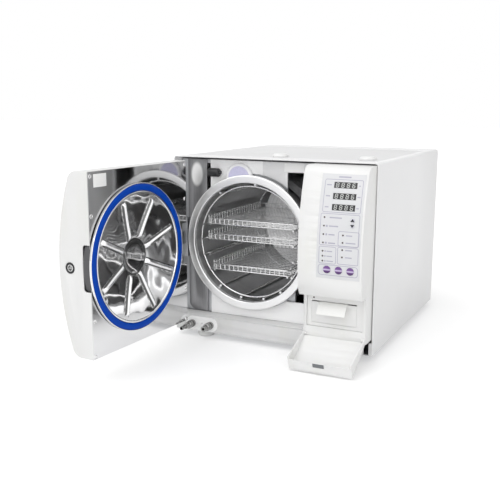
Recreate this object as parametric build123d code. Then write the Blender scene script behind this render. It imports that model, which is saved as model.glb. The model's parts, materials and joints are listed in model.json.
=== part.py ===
from build123d import *
import math
import os

os.makedirs("parts", exist_ok=True)

# A table-top steam steriliser. Millimetres. X is the width, with the door hinge on the left at -X,
# -Y is the front, and Z is up. The origin lies at the centre of the base tray's underside.

# Clearances
RUNNING_GAP = 0.05
CLOSE_GAP = 0.3
PANEL_GAP = 1.0

# How far a cut runs on past the metal
OVERRUN = 1.0
LONG_OVERRUN = 9.0

# Case
CASE_WIDTH = 445.0
CASE_DEPTH = 500.0
CASE_HEIGHT = 377.0
COVER_WALL = 1.5
COVER_EDGE_RADIUS = 6.0
PLATE_WALL = 2.0
TRAY_FLANGE = 14.0
FRAME_SETBACK = 28.0
FRAME_WALL = 3.0
FOOT_HEIGHT = 13.0
FOOT_RADIUS = 18.5
FOOT_EDGE = 2.0
FOOT_SPACING_X = 320.0
FOOT_SPACING_Y = 455.0
SKIRT_HEIGHT = 34.0
SKIRT_WALL = 3.0
SKIRT_RIGHT_END = 205.0
COVER_FLANGE_HEIGHT = 27.0
COVER_FLANGE_WIDTH = 6.0
LEDGE_RISE = 5.0
LEDGE_FLAT = 6.0
LEDGE_LIP = 2.0

# Pressure chamber
CHAMBER_X = -54.0
CHAMBER_Z = 201.0
CHAMBER_BORE = 125.0
CHAMBER_WALL = 2.0
CHAMBER_DEPTH = 360.0
CHAMBER_DOME = 28.0
WELD_OVERLAP = 0.01
MOUTH_SETBACK = 7.6
FLANGE_RADIUS = 141.5
FLANGE_THICKNESS = 9.0
FLANGE_EDGE = 1.5
HEATER_WALL = 3.0
HEATER_LENGTH = 190.0
HEATER_START = 90.0
INSULATION_WALL = 15.0
INSULATION_START = 62.0
INSULATION_LENGTH = 268.0
CRADLE_WALL = 8.0
CRADLE_WIDTH = 200.0

# Bowed front, shared by the door and the control column
BOW_DEPTH = 74.0
BOW_RADIUS = 480.0
BOW_CENTRE_Z = 200.0
BOW_CORNER_RADIUS = 20.0

# Door
DOOR_LEFT_MARGIN = 3.0
DOOR_RIGHT_X = 80.0
DOOR_BOTTOM_GAP = 1.0
DOOR_TOP_GAP = 5.5
DOOR_WALL = 3.0
DOOR_PANEL_WALL = 1.2
DOOR_FRONT_GAP = 1.0
HINGE_INSET = 6.0
HINGE_FORWARD = 45.6
HINGE_HEIGHT = 84.0
HINGE_BARREL_RADIUS = 8.0
HINGE_PIN_RADIUS = 4.0
HINGE_ARM_WIDTH = 11.0
DOOR_OPEN_ANGLE = 93.1
NOTCH_HEIGHT = 84.0
NOTCH_CORNER = 6.0
PLATE_RADIUS = 140.0
PLATE_SKIRT_RADIUS = 136.0
PLATE_SKIRT_DEPTH = 18.0
PLATE_SHEET = 1.5
PLATE_DISH = 12.0
PLATE_HUB_RADIUS = 30.0
PLATE_RIM_STEP = 3.0
PLATE_LAND = 12.0
RIB_COUNT = 8
RIB_START = 42.0
RIB_END = 114.0
RIB_RADIUS = 5.0
RIB_FIRST_ANGLE = 22.5
SEAL_INNER = 125.5
SEAL_HEIGHT = 5.0
SEAL_BEAD = 2.2
PANEL_HOLE_RADIUS = 138.0
CROSSBAR_HEIGHT = 56.0
CROSSBAR_WALL = 8.0
LOCK_Z = 199.0
LOCK_FORWARD = 48.5
LOCK_RING_RADIUS = 10.0
LOCK_HOLE_RADIUS = 5.5
LOCK_BOLT_RADIUS = 4.5
PLATE_FLOAT = 1.5

# Control column
COLUMN_LEFT_X = 93.0
COLUMN_RIGHT_X = 219.5
COLUMN_WALL = 3.0
COLUMN_TOP_GAP = 4.5
LIP_TOP_Z = 141.5
LIP_BOTTOM_Z = 126.5
LIP_SETBACK = 8.0
BAY_BOTTOM_Z = 59.0
BAY_SIDE = 6.0
BAY_DEPTH = 38.0
FILM_WALL = 0.6
FILM_LEFT_X = 131.0
FILM_RIGHT_X = 215.5
FILM_BOTTOM_Z = 166.0
FILM_TOP_Z = 359.0
DISPLAY_X = 178.0
DISPLAY_WIDTH = 44.0
DISPLAY_HEIGHT = 11.0
DISPLAY_DEPTH = 7.0
DISPLAY_TOP_Z = 339.0
DISPLAY_PITCH = 20.0
DISPLAY_COUNT = 3
KEY_RADIUS = 7.0
KEY_Z = 183.0
KEY_FIRST_X = 152.0
KEY_PITCH = 22.8
KEY_COUNT = 3
KEY_PROUD = 1.4
KEY_FLANGE = 1.5
KEY_FOOT = 1.2
KEY_EDGE = 0.6
ARROW_RADIUS = 3.2
ARROW_X = 198.0
ARROW_UPPER_Z = 277.0
ARROW_LOWER_Z = 267.0
LED_RADIUS = 1.5
LED_COLUMN_X = 143.0
PROGRAM_LED_TOP_Z = 280.0
PROGRAM_LED_PITCH = 15.6
PROGRAM_LED_COUNT = 4
STAGE_LED_TOP_Z = 217.6
STAGE_LED_PITCH = 9.3
STAGE_LED_COUNT = 3
BOX_LED_X = 181.0
BOX_LED_TOP_Z = 249.0
BOX_LED_PITCH = 13.5
BOX_LED_COUNT = 4
BOARD_WALL = 1.6
BOARD_DEPTH = 16.5
BOARD_BOTTOM_Z = 168.0
BOARD_TOP_Z = 347.0
BOARD_INSET = 5.0
BOARD_POST_RADIUS = 3.0

# Printer and its flap
PRINTER_PANEL_WALL = 3.0
PRINTER_PANEL_INSET = 3.0
PRINTER_LID_LEFT_X = 109.0
PRINTER_LID_RIGHT_X = 200.0
PRINTER_LID_BOTTOM_Z = 67.0
PRINTER_LID_TOP_Z = 108.0
PAPER_WIDTH = 57.0
PAPER_ROLL_RADIUS = 19.0
PAPER_CORE_RADIUS = 6.0
PLATEN_RADIUS = 5.0
PLATEN_SHAFT_RADIUS = 2.0
PAPER_SHEET = 0.4
FLAP_BOTTOM_Z = 44.0
FLAP_WALL = 2.5
FLAP_HINGE_FORWARD = 40.5
FLAP_HINGE_Z = 43.5
FLAP_PIN_RADIUS = 1.3
FLAP_OPEN_ANGLE = 109.0

# Rack and trays
RACK_HOOP_RADIUS = 117.6
RACK_WIRE = 2.0
RACK_LEVELS = 4
TRAY_REST = 6.0
RAIL_TIE_SET = 16.0
RACK_START = 15.0
RACK_LENGTH = 279.0
TRAY_START = 11.0
TRAY_SHEET = 1.2
TRAY_DEPTH = 13.0
TRAY_SIDE_RISE = 5.0
TRAY_LENGTH = 280.0
UPPER_TRAY_WIDTH = 206.0
LOWER_TRAY_WIDTH = 182.0
TRAY_LEVEL_PITCH = 32.5
TOP_TRAY_FLOOR_Z = 235.0

RUNNER_RADIUS = 2.7
RUNNER_ANGLES = (55.0, 85.0, 125.0, 235.0, 260.0, 285.0, 305.0)
TRAY_CORNER = 10.0
WIDE_LEVELS = 3

# Lid in the cover's top, over the water filler
LID_WIDTH = 412.0
LID_DEPTH = 370.0
LID_FRONT_GAP = 55.0
LID_RECESS = 5.0
LID_WALL = 2.0
LID_CORNER = 14.0
LID_REAR_CORNER = 4.0
LID_CLEARANCE = 1.0
LID_REAR_SET = 6.0
LID_LUG_RADIUS = 1.4
LID_LUG_LENGTH = 10.0
LID_PIN_RADIUS = 0.9
LID_WEB_HALF = 1.0
LID_BOSS = 4.0
LID_PAD_RADIUS = 4.0
LID_PAD_INSET = 24.0
GRIP_X = (-10.0, 178.0)
GRIP_RADIUS = 17.0
GRIP_HEIGHT = 7.0
FILLER_X = 158.0
FILLER_Y = 60.0
FILLER_RADIUS = 22.0

# Front plates and what they carry
POST_LEFT_X = -203.0
POST_RIGHT_X = -157.0
POST_BOTTOM_Z = 40.0
POST_CORNER = 18.0
FASCIA_LEFT_X = -148.0
FRONT_PLATE_TOP_Z = 370.0
GAP_BOTTOM_Z = 230.0
GAP_TOP_Z = 362.0
SLOT_LEFT_X = 28.0
SLOT_RIGHT_X = 85.0
SLOT_BOTTOM_Z = 83.0
SLOT_TOP_Z = 350.0
HINGE_FOOT_WALL = 8.0
FILTER_X = -78.0
FILTER_Z = 335.0
FILTER_RADIUS = 30.0
FILTER_PROUD = 8.0
FILTER_EDGE = 3.0
FILTER_NECK_Z = 343.0
FILTER_NECK_RADIUS = 9.0
FILTER_NECK_LENGTH = 14.0
SWITCH_LEFT_X = -147.0
SWITCH_RIGHT_X = -122.0
SWITCH_Z = 344.0
SWITCH_RADIUS = 9.0
SWITCH_EDGE = 3.0
PLUNGER_LENGTH = 4.0
PLUNGER_RADIUS = 3.5
DRAIN_X = (-180.0, -136.0)
DRAIN_Z = 17.0
DRAIN_PLATE_RADIUS = 15.5
DRAIN_PLATE_WALL = 2.5
DRAIN_BODY_RADIUS = 8.0
DRAIN_BODY_LENGTH = 20.0
DRAIN_NECK_RADIUS = 6.0
DRAIN_NECK_LENGTH = 12.0
DRAIN_BORE = 3.0
DRAIN_SHANK_RADIUS = 5.0
DRAIN_SHANK_LENGTH = 15.0
NOZZLE_RADIUS = 4.5
NOZZLE_LENGTH = 16.0

# Small door pieces
PANEL_EDGE = 0.8
PANEL_SCREW_HEAD = 4.0
PANEL_SCREW_RISE = 1.6
PANEL_SCREW_INSET = 5.0
PANEL_SCREW_Z = (363.0, 294.0, 106.0, 40.0)
PLATE_PIN_RADIUS = 6.0
PLATE_PIN_LENGTH = 14.0
BRIDGE_BOSS_RADIUS = 14.0
BRIDGE_SET = 2.0
LOCK_CUP_DEPTH = 16.0
LOCK_CUP_FLOOR = 2.5
LOCK_CUP_PROUD = 0.8
LOCK_BOLT_LENGTH = 40.0
LOCK_MOTOR_LENGTH = 22.0
LOCK_MOTOR_HALF_WIDTH = 13.0
LOCK_MOTOR_HALF_HEIGHT = 15.0

# Small printer and flap pieces
PLATEN_SET = 6.5
PLATEN_Z = 101.0
PAPER_ROLL_SET = 24.0
SLOT_OPENING = 2.4
TUB_DEPTH = 56.0
TUB_WALL = 2.0
TUB_RISE = 12.0
PRINTER_PIN_RADIUS = 0.8
PRINTER_PIN_LENGTH = 3.0
PRINTER_HINGE_RISE = 1.5
EAR_WALL = 3.0
EAR_DEPTH = 11.0
PAPER_REACH = 22.0
PAPER_DROP = 20.0
FLAP_EYE_WIDTH = 4.0
FLAP_EYE_RADIUS = 3.2
FLAP_LUG_WIDTH = 3.2
FLAP_LUG_RADIUS = 2.6
FLAP_LIP_DEPTH = 22.0
CATCH_X = 143.0
CATCH_WIDTH = 22.0
CATCH_DEPTH = 8.0
CATCH_PROUD = 0.5

# Fan, vents and power entry at the rear
FAN_X = 140.0
FAN_Z = 290.0
FAN_BLADE_RADIUS = 42.0
FAN_SIZE = 92.0
FAN_DEPTH = 25.0
FAN_HUB_RADIUS = 16.0
FAN_BLADE_COUNT = 7
FAN_BLADE_CHORD = 17.0
FAN_BLADE_WALL = 1.6
FAN_BLADE_ANGLE = 38.0
FAN_SHAFT_RADIUS = 2.0
FAN_SHAFT_LENGTH = 16.0
FAN_SPIDER_WALL = 3.0
FAN_SPIDER_WIDTH = 5.0
FAN_SPIDER_COUNT = 3
FAN_BLADE_ROOT = 2.0
FAN_RUNNING_GAP = 1.5
VENT_X = -150.0
VENT_LENGTH = 90.0
VENT_HEIGHT = 4.0
VENT_PITCH = 12.0
VENT_BOTTOM_Z = 240.0
VENT_COUNT = 9
MODULE_LEFT_X = 120.0
MODULE_WIDTH = 60.0
MODULE_HEIGHT = 27.0
MODULE_DEPTH = 26.0
MODULE_FLANGE = 2.5
MODULE_RIM = 3.0
MODULE_Z = 60.0
INLET_WIDTH = 24.0
INLET_HEIGHT = 17.0
INLET_RECESS = 16.0
INLET_INSET = 5.0
INLET_PIN_SPACING = 7.0
INLET_PIN_HALF_WIDTH = 1.0
INLET_PIN_HALF_HEIGHT = 2.0
ROCKER_WIDTH = 13.0
ROCKER_HEIGHT = 19.0
ROCKER_INSET = 14.0
ROCKER_SET = 5.0
ROCKER_RISE = 7.0
ROCKER_FALL = 3.0
ROCKER_SWING = 14.0
ROCKER_PIN_RADIUS = 1.5
ROCKER_PIN_LENGTH = 2.2
ROCKER_WELL_DEPTH = 11.0
ROCKER_END_GAP = 1.5

# Water, steam and vacuum
TANK_LEFT_X = 104.0
TANK_RIGHT_X = 214.0
TANK_FRONT_Y = -30.0
TANK_REAR_Y = 150.0
TANK_WALL = 3.0
TANK_RAIL = 12.0
CLEAN_TANK_BOTTOM_Z = 196.0
FILLER_NECK = 16.0
CLEAN_TANK_TOP_Z = CASE_HEIGHT - LID_RECESS - FILLER_NECK
USED_TANK_TOP_Z = 186.0
GENERATOR_X = -150.0
GENERATOR_Y = 200.0
GENERATOR_RADIUS = 38.0
GENERATOR_HEIGHT = 210.0
GENERATOR_EDGE = 12.0
GENERATOR_BASE_RADIUS = 44.0
GENERATOR_BASE_WALL = 5.0
OUTLET_RADIUS = 7.0
OUTLET_LENGTH = 22.0
PUMP_X = -10.0
PUMP_Y = 196.0
PUMP_RADIUS = 32.0
PUMP_LENGTH = 120.0
PUMP_HEAD = 46.0
PUMP_BASE = 6.0
PUMP_SADDLE_HALF = 14.0

# Places that follow from the sizes
FRONT_Y = -CASE_DEPTH / 2
REAR_Y = CASE_DEPTH / 2
LEFT_X = -CASE_WIDTH / 2
RIGHT_X = CASE_WIDTH / 2
FRAME_Y = FRONT_Y + FRAME_SETBACK
MOUTH_Y = FRONT_Y + MOUTH_SETBACK
INNER_LEFT = LEFT_X + COVER_WALL
INNER_RIGHT = RIGHT_X - COVER_WALL
PANEL_Y = FRONT_Y - DOOR_FRONT_GAP
DOOR_LEFT_X = LEFT_X + DOOR_LEFT_MARGIN
DOOR_BOTTOM_Z = SKIRT_HEIGHT + DOOR_BOTTOM_GAP
DOOR_TOP_Z = CASE_HEIGHT - DOOR_TOP_GAP
HINGE_X = DOOR_LEFT_X + HINGE_INSET
HINGE_Y = FRONT_Y - HINGE_FORWARD
HINGE_LOW_Z = CHAMBER_Z - HINGE_HEIGHT / 2
HINGE_HIGH_Z = CHAMBER_Z + HINGE_HEIGHT / 2
COLUMN_TOP_Z = CASE_HEIGHT - COLUMN_TOP_GAP
BAY_Y = FRONT_Y - BAY_DEPTH
FLAP_HINGE_Y = FRONT_Y - FLAP_HINGE_FORWARD
CHAMBER_OUTER = CHAMBER_BORE + CHAMBER_WALL
FASCIA_Y = FRAME_Y - FRAME_WALL
SEAL_Y = MOUTH_Y - CLOSE_GAP
RIM_Y = SEAL_Y - SEAL_HEIGHT
SLOPE_END = SEAL_INNER - PLATE_LAND
LID_FRONT_Y = FRONT_Y + LID_FRONT_GAP + LID_CLEARANCE
LID_REAR_Y = FRONT_Y + LID_FRONT_GAP + LID_DEPTH - LID_REAR_SET
LID_HALF = LID_WIDTH / 2 - LID_CLEARANCE
LID_HINGE_Y = LID_REAR_Y - LID_LUG_RADIUS
LID_HINGE_Z = CASE_HEIGHT - LID_RECESS + CLOSE_GAP + LID_LUG_RADIUS
LOCK_Y = FRONT_Y - LOCK_FORWARD
PRINTER_X = (PRINTER_LID_LEFT_X + PRINTER_LID_RIGHT_X) / 2
PRINTER_Y = BAY_Y + PRINTER_PANEL_INSET
PRINTER_BACK_Y = PRINTER_Y + PRINTER_PANEL_WALL
PRINTER_HINGE_Y = PRINTER_Y + PRINTER_HINGE_RISE
PRINTER_HINGE_Z = PRINTER_LID_BOTTOM_Z + PRINTER_HINGE_RISE
PLATEN_Y = PRINTER_BACK_Y + PLATEN_SET
FLAP_TOP_Z = LIP_BOTTOM_Z - PANEL_GAP
RACK_Y = MOUTH_Y + RACK_START
HOOP_Y = RACK_Y + 2 * RACK_WIRE
TRAY_FRONT_Y = MOUTH_Y + TRAY_START
RUNNER_CIRCLE = CHAMBER_BORE - CLOSE_GAP - RUNNER_RADIUS
RAIL_CIRCLE = RACK_HOOP_RADIUS - RACK_WIRE
FAN_REAR_Y = REAR_Y - PLATE_WALL
ROCKER_X = MODULE_LEFT_X + ROCKER_INSET
ROCKER_Y = REAR_Y - ROCKER_SET


def block(x0, x1, y0, y1, z0, z1):
    """A box between two corners, given in either order."""
    middle = Pos((x0 + x1) / 2, (y0 + y1) / 2, (z0 + z1) / 2)
    return middle * Box(abs(x1 - x0), abs(y1 - y0), abs(z1 - z0))


def rod_x(x0, x1, y, z, radius):
    """A round bar along X."""
    return Pos((x0 + x1) / 2, y, z) * Rot(0, 90, 0) * Cylinder(radius, abs(x1 - x0))


def rod_y(y0, y1, x, z, radius):
    """A round bar along Y."""
    return Pos(x, (y0 + y1) / 2, z) * Rot(90, 0, 0) * Cylinder(radius, y1 - y0)


def rod_z(z0, z1, x, y, radius):
    """A round bar along Z."""
    return Pos(x, y, (z0 + z1) / 2) * Cylinder(radius, z1 - z0)


def tube_y(y0, y1, x, z, inner, outer):
    """A round tube along Y."""
    return rod_y(y0, y1, x, z, outer) - rod_y(y0 - OVERRUN, y1 + OVERRUN, x, z, inner)


def prism_x(x0, x1, points):
    """A straight-sided outline in Y and Z, drawn out along X."""
    outline = Polyline(*[Vector(x0, y, z) for y, z in points], close=True)
    return extrude(make_face(outline), amount=x1 - x0, dir=Vector(1, 0, 0))


def group(pieces):
    """Several separate solids of one kind under one name."""
    return Compound(children=list(pieces))


def save(name, piece):
    """Writes one sub-part, placed in the assembly."""
    piece.label = name
    export_step(piece, f"parts/{name}.step")


def bow_y(z, outward=0.0):
    """The front surface's Y at a height, moved forward by outward."""
    radius = BOW_RADIUS + outward
    peak = FRONT_Y - BOW_DEPTH - outward
    return peak + radius - math.sqrt(radius**2 - (z - BOW_CENTRE_Z) ** 2)


def bow_angle(z):
    """How far the front surface leans back at a height, in degrees."""
    return math.degrees(math.asin((z - BOW_CENTRE_Z) / BOW_RADIUS))


def bow_edge(x, z0, z1, outward=0.0):
    """The bow between two heights, as one arc in the plane at x."""
    middle = (z0 + z1) / 2
    return ThreePointArc(
        (x, bow_y(z0, outward), z0),
        (x, bow_y(middle, outward), middle),
        (x, bow_y(z1, outward), z1),
    )


def bowed_block(x0, x1, z0, z1, back_y, outward=0.0, corner=0.0):
    """A block with a flat back at back_y and the bow in front, its two front edges rounded."""
    front = bow_edge(x0, z0, z1, outward)
    top = Line(front @ 1, (x0, back_y, z1))
    back = Line((x0, back_y, z1), (x0, back_y, z0))
    bottom = Line((x0, back_y, z0), front @ 0)
    body = extrude(make_face([front, top, back, bottom]), amount=x1 - x0, dir=Vector(1, 0, 0))
    if corner > 0:
        edges = body.edges().filter_by(Axis.X).sort_by(Axis.Y)[:2]
        body = fillet(edges, corner)
    return body


def swing_door(piece):
    """Turns a door piece from its closed place to its open one."""
    axis = Axis((HINGE_X, HINGE_Y, 0), (0, 0, 1))
    return piece.rotate(axis, -DOOR_OPEN_ANGLE)


def swing_flap(piece):
    """Turns a flap piece from its closed place to its open one."""
    axis = Axis((0, FLAP_HINGE_Y, FLAP_HINGE_Z), (1, 0, 0))
    return piece.rotate(axis, FLAP_OPEN_ANGLE)


# Case
def base_tray():
    """Open pan with a flange on its sides and back."""
    outer = block(INNER_LEFT, INNER_RIGHT, FRONT_Y + SKIRT_WALL, REAR_Y - PLATE_WALL, 0, TRAY_FLANGE)
    hollow = block(
        INNER_LEFT + PLATE_WALL,
        INNER_RIGHT - PLATE_WALL,
        FRONT_Y + SKIRT_WALL - OVERRUN,
        REAR_Y - 2 * PLATE_WALL,
        PLATE_WALL,
        TRAY_FLANGE + OVERRUN,
    )
    return outer - hollow


def feet():
    """Four round rubber feet under the base tray's corners."""
    pieces = []
    for side in (-1, 1):
        for end in (-1, 1):
            x = side * FOOT_SPACING_X / 2
            y = end * FOOT_SPACING_Y / 2
            foot = rod_z(-FOOT_HEIGHT, 0, x, y, FOOT_RADIUS)
            foot = fillet(foot.edges().group_by(Axis.Z)[0], FOOT_EDGE)
            pieces.append(foot)
    return group(pieces)


def lid_space(margin, z0, z1):
    """The lid's well, or the sheet round it, with wide corners in front and small ones at the rear."""
    y0 = FRONT_Y + LID_FRONT_GAP
    reach = LID_WIDTH / 2 + margin
    space = block(-reach, reach, y0 - margin, y0 + LID_DEPTH + margin, z0, z1)
    rows = space.edges().filter_by(Axis.Z).group_by(Axis.Y)
    space = fillet(rows[0], LID_CORNER + margin)
    rows = space.edges().filter_by(Axis.Z).group_by(Axis.Y)
    return fillet(rows[-1], LID_REAR_CORNER + margin)


def outer_cover():
    """Top and sides in one bent sheet, with the lid's well and a flange at the lower right front."""
    outer = block(LEFT_X, RIGHT_X, FRONT_Y, REAR_Y, 0, CASE_HEIGHT)
    outer = fillet(outer.edges().filter_by(Axis.Y).group_by(Axis.Z)[-1], COVER_EDGE_RADIUS)
    y0 = FRONT_Y - OVERRUN
    y1 = REAR_Y + OVERRUN
    inner = block(INNER_LEFT, INNER_RIGHT, y0, y1, -OVERRUN, CASE_HEIGHT - COVER_WALL)
    inner = fillet(inner.edges().filter_by(Axis.Y).group_by(Axis.Z)[-1], COVER_EDGE_RADIUS - COVER_WALL)
    well_floor = CASE_HEIGHT - LID_RECESS
    cover = outer - inner + lid_space(COVER_WALL, well_floor - COVER_WALL, CASE_HEIGHT - COVER_WALL)
    for side in (-1, 1):
        x0 = side * LID_WIDTH / 2
        x1 = x0 + side * LID_BOSS
        y0 = LID_HINGE_Y - LID_BOSS
        y1 = LID_HINGE_Y + LID_BOSS
        cover = cover + block(x0, x1, y0, y1, well_floor - COVER_WALL, CASE_HEIGHT - COVER_WALL)
    cover = cover - lid_space(0.0, well_floor, CASE_HEIGHT + OVERRUN)
    reach = LID_WIDTH / 2 + LID_BOSS
    cover = cover - rod_x(-reach, reach, LID_HINGE_Y, LID_HINGE_Z, LID_PIN_RADIUS + RUNNING_GAP)
    cover = cover - rod_z(0, CASE_HEIGHT, FILLER_X, FILLER_Y, FILLER_RADIUS + PANEL_GAP)
    flange_left = INNER_RIGHT - COVER_FLANGE_WIDTH
    return cover + block(flange_left, RIGHT_X, FRONT_Y, FRONT_Y + COVER_WALL, 0, COVER_FLANGE_HEIGHT)


def top_lid():
    """Flat hinged cover with four rest pads and a pin at each rear corner."""
    z1 = CASE_HEIGHT
    under = z1 - LID_WALL
    lid = block(-LID_HALF, LID_HALF, LID_FRONT_Y, LID_REAR_Y, under, z1)
    lid = fillet(lid.edges().filter_by(Axis.Z).group_by(Axis.Y)[0], LID_CORNER - LID_CLEARANCE)
    for x in (LID_PAD_INSET - LID_HALF, LID_HALF - LID_PAD_INSET):
        for y in (LID_FRONT_Y + LID_PAD_INSET, LID_REAR_Y - 2 * LID_PAD_INSET):
            lid = lid + rod_z(z1 - LID_RECESS + CLOSE_GAP, under, x, y, LID_PAD_RADIUS)
    for side in (-1, 1):
        inner = side * (LID_HALF - LID_LUG_LENGTH)
        outer = side * LID_HALF
        tip = side * (LID_WIDTH / 2 + LID_BOSS - CLOSE_GAP)
        lug = rod_x(inner, outer, LID_HINGE_Y, LID_HINGE_Z, LID_LUG_RADIUS)
        web = block(inner, outer, LID_HINGE_Y - LID_WEB_HALF, LID_HINGE_Y + LID_WEB_HALF, LID_HINGE_Z, under)
        lid = lid + lug + web + rod_x(inner, tip, LID_HINGE_Y, LID_HINGE_Z, LID_PIN_RADIUS)
    return lid


def rear_panel():
    """Rear plate with the fan's opening, the vents and the power module's cut-out."""
    top = CASE_HEIGHT - COVER_WALL - CLOSE_GAP
    left = INNER_LEFT + CLOSE_GAP
    right = INNER_RIGHT - CLOSE_GAP
    plate = block(left, right, REAR_Y - PLATE_WALL, REAR_Y, PANEL_GAP, top)
    corners = plate.edges().filter_by(Axis.Y).group_by(Axis.Z)[-1]
    plate = fillet(corners, COVER_EDGE_RADIUS - COVER_WALL - CLOSE_GAP)
    y0 = REAR_Y - LONG_OVERRUN
    y1 = REAR_Y + LONG_OVERRUN
    plate = plate - rod_y(y0, y1, FAN_X, FAN_Z, FAN_BLADE_RADIUS + 2 * PANEL_GAP)
    plate = plate - block(
        MODULE_LEFT_X - CLOSE_GAP,
        MODULE_LEFT_X + MODULE_WIDTH + CLOSE_GAP,
        y0,
        y1,
        MODULE_Z - MODULE_HEIGHT / 2 - CLOSE_GAP,
        MODULE_Z + MODULE_HEIGHT / 2 + CLOSE_GAP,
    )
    half = VENT_LENGTH / 2
    for row in range(VENT_COUNT):
        z = VENT_BOTTOM_Z + row * VENT_PITCH
        plate = plate - block(VENT_X - half, VENT_X + half, y0, y1, z, z + VENT_HEIGHT)
    return plate


def base_skirt():
    """Angle moulding along the foot of the front, with the drain couplings' holes."""
    front = block(LEFT_X, SKIRT_RIGHT_END, FRONT_Y, FRONT_Y + SKIRT_WALL, 0, SKIRT_HEIGHT)
    top = block(
        INNER_LEFT + CLOSE_GAP,
        SKIRT_RIGHT_END,
        FRONT_Y,
        FRAME_Y - FRAME_WALL - CLOSE_GAP,
        SKIRT_HEIGHT - SKIRT_WALL,
        SKIRT_HEIGHT,
    )
    skirt = front + top
    corner = block(
        LEFT_X - OVERRUN,
        INNER_LEFT + CLOSE_GAP,
        FRONT_Y - OVERRUN,
        FRONT_Y + SKIRT_WALL + OVERRUN,
        -OVERRUN,
        SKIRT_HEIGHT + OVERRUN,
    )
    for x in DRAIN_X:
        y1 = FRONT_Y + SKIRT_WALL + OVERRUN
        skirt = skirt - rod_y(FRONT_Y - OVERRUN, y1, x, DRAIN_Z, DRAIN_SHANK_RADIUS + CLOSE_GAP)
    return skirt - corner


def drip_ledge():
    """Sloped sill on the skirt, under the door and the chamber mouth."""
    z0 = SKIRT_HEIGHT
    z1 = z0 + LEDGE_RISE
    y1 = FRAME_Y - FRAME_WALL - CLOSE_GAP
    y0 = FRONT_Y + SKIRT_WALL
    points = [(y0, z0), (y1, z0), (y1, z1), (y1 - LEDGE_FLAT, z1), (y0, z0 + LEDGE_LIP)]
    return prism_x(INNER_LEFT + CLOSE_GAP, COLUMN_LEFT_X - CLOSE_GAP, points)


def through_front(x0, x1, z0, z1):
    """A square-cornered cut through the fascia and the frame."""
    return block(x0, x1, FASCIA_Y - LONG_OVERRUN, FRAME_Y + LONG_OVERRUN, z0, z1)


def round_through_front(x, z, radius):
    """A round cut through the fascia and the frame."""
    return rod_y(FASCIA_Y - LONG_OVERRUN, FRAME_Y + LONG_OVERRUN, x, z, radius)


def latch_slot():
    """Tall slot beside the chamber mouth."""
    return through_front(SLOT_LEFT_X, SLOT_RIGHT_X, SLOT_BOTTOM_Z, SLOT_TOP_Z)


def filter_port():
    """Hole that the air filter's neck pushes into."""
    return round_through_front(FILTER_X, FILTER_NECK_Z, FILTER_NECK_RADIUS + CLOSE_GAP)


def chamber_hole(radius):
    """Round hole about the chamber's axis."""
    return round_through_front(CHAMBER_X, CHAMBER_Z, radius)


def front_frame():
    """Steel plate that carries the chamber mouth, the hinge post and the fascia."""
    left = INNER_LEFT + PLATE_WALL + CLOSE_GAP
    right = COLUMN_LEFT_X - CLOSE_GAP
    plate = block(left, right, FRAME_Y, FRAME_Y + FRAME_WALL, PLATE_WALL, FRONT_PLATE_TOP_Z)
    plate = plate - chamber_hole(CHAMBER_OUTER + CLOSE_GAP) - filter_port() - latch_slot()
    return plate - through_front(POST_RIGHT_X, FASCIA_LEFT_X, GAP_BOTTOM_Z, GAP_TOP_Z)


def fascia():
    """White moulded plate round the chamber mouth, with the latch slot at its right."""
    right = COLUMN_LEFT_X - CLOSE_GAP
    bottom = SKIRT_HEIGHT + LEDGE_RISE
    plate = block(FASCIA_LEFT_X, right, FASCIA_Y, FRAME_Y, bottom, FRONT_PLATE_TOP_Z)
    return plate - chamber_hole(FLANGE_RADIUS + 2 * PANEL_GAP) - filter_port() - latch_slot()


def hinge_post():
    """Grey steel plate between the door's hinge and the chamber mouth."""
    plate = block(POST_LEFT_X, POST_RIGHT_X, FASCIA_Y, FRAME_Y, POST_BOTTOM_Z, FRONT_PLATE_TOP_Z)
    corner = plate.edges().filter_by(Axis.Y).group_by(Axis.Z)[0].sort_by(Axis.X)[0]
    return fillet(corner, POST_CORNER) - chamber_hole(CHAMBER_OUTER + CLOSE_GAP)


def hinge_block():
    """Foot on the frame and an arm that reaches forward to the door's pin."""
    half = HINGE_ARM_WIDTH / 2
    third = HINGE_HEIGHT / 3
    z0 = CHAMBER_Z - third / 2 + CLOSE_GAP
    z1 = CHAMBER_Z + third / 2 - CLOSE_GAP
    arm = block(HINGE_X - half, HINGE_X + half, HINGE_Y, FRAME_Y, z0, z1)
    barrel = rod_z(z0, z1, HINGE_X, HINGE_Y, HINGE_BARREL_RADIUS)
    left = INNER_LEFT + PLATE_WALL + CLOSE_GAP
    right = POST_LEFT_X - CLOSE_GAP
    foot = block(left, right, FRAME_Y - HINGE_FOOT_WALL, FRAME_Y, HINGE_LOW_Z, HINGE_HIGH_Z)
    bore = rod_z(z0 - OVERRUN, z1 + OVERRUN, HINGE_X, HINGE_Y, HINGE_PIN_RADIUS + RUNNING_GAP)
    return arm + barrel + foot - bore


# Chamber
def chamber_vessel():
    """Steel tube with a domed back."""
    mouth = MOUTH_Y + FLANGE_THICKNESS
    back = MOUTH_Y + CHAMBER_DEPTH
    tube = tube_y(mouth, back, CHAMBER_X, CHAMBER_Z, CHAMBER_BORE, CHAMBER_OUTER)
    radius = (CHAMBER_BORE**2 + CHAMBER_DOME**2) / (2 * CHAMBER_DOME)
    centre_y = back + CHAMBER_DOME - radius
    ball = Pos(CHAMBER_X, centre_y, CHAMBER_Z) * Sphere(radius + CHAMBER_WALL)
    core = Pos(CHAMBER_X, centre_y, CHAMBER_Z) * Sphere(radius)
    keep = rod_y(back - WELD_OVERLAP, back + 2 * CHAMBER_DOME, CHAMBER_X, CHAMBER_Z, CHAMBER_OUTER)
    return tube + ((ball - core) & keep)


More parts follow.
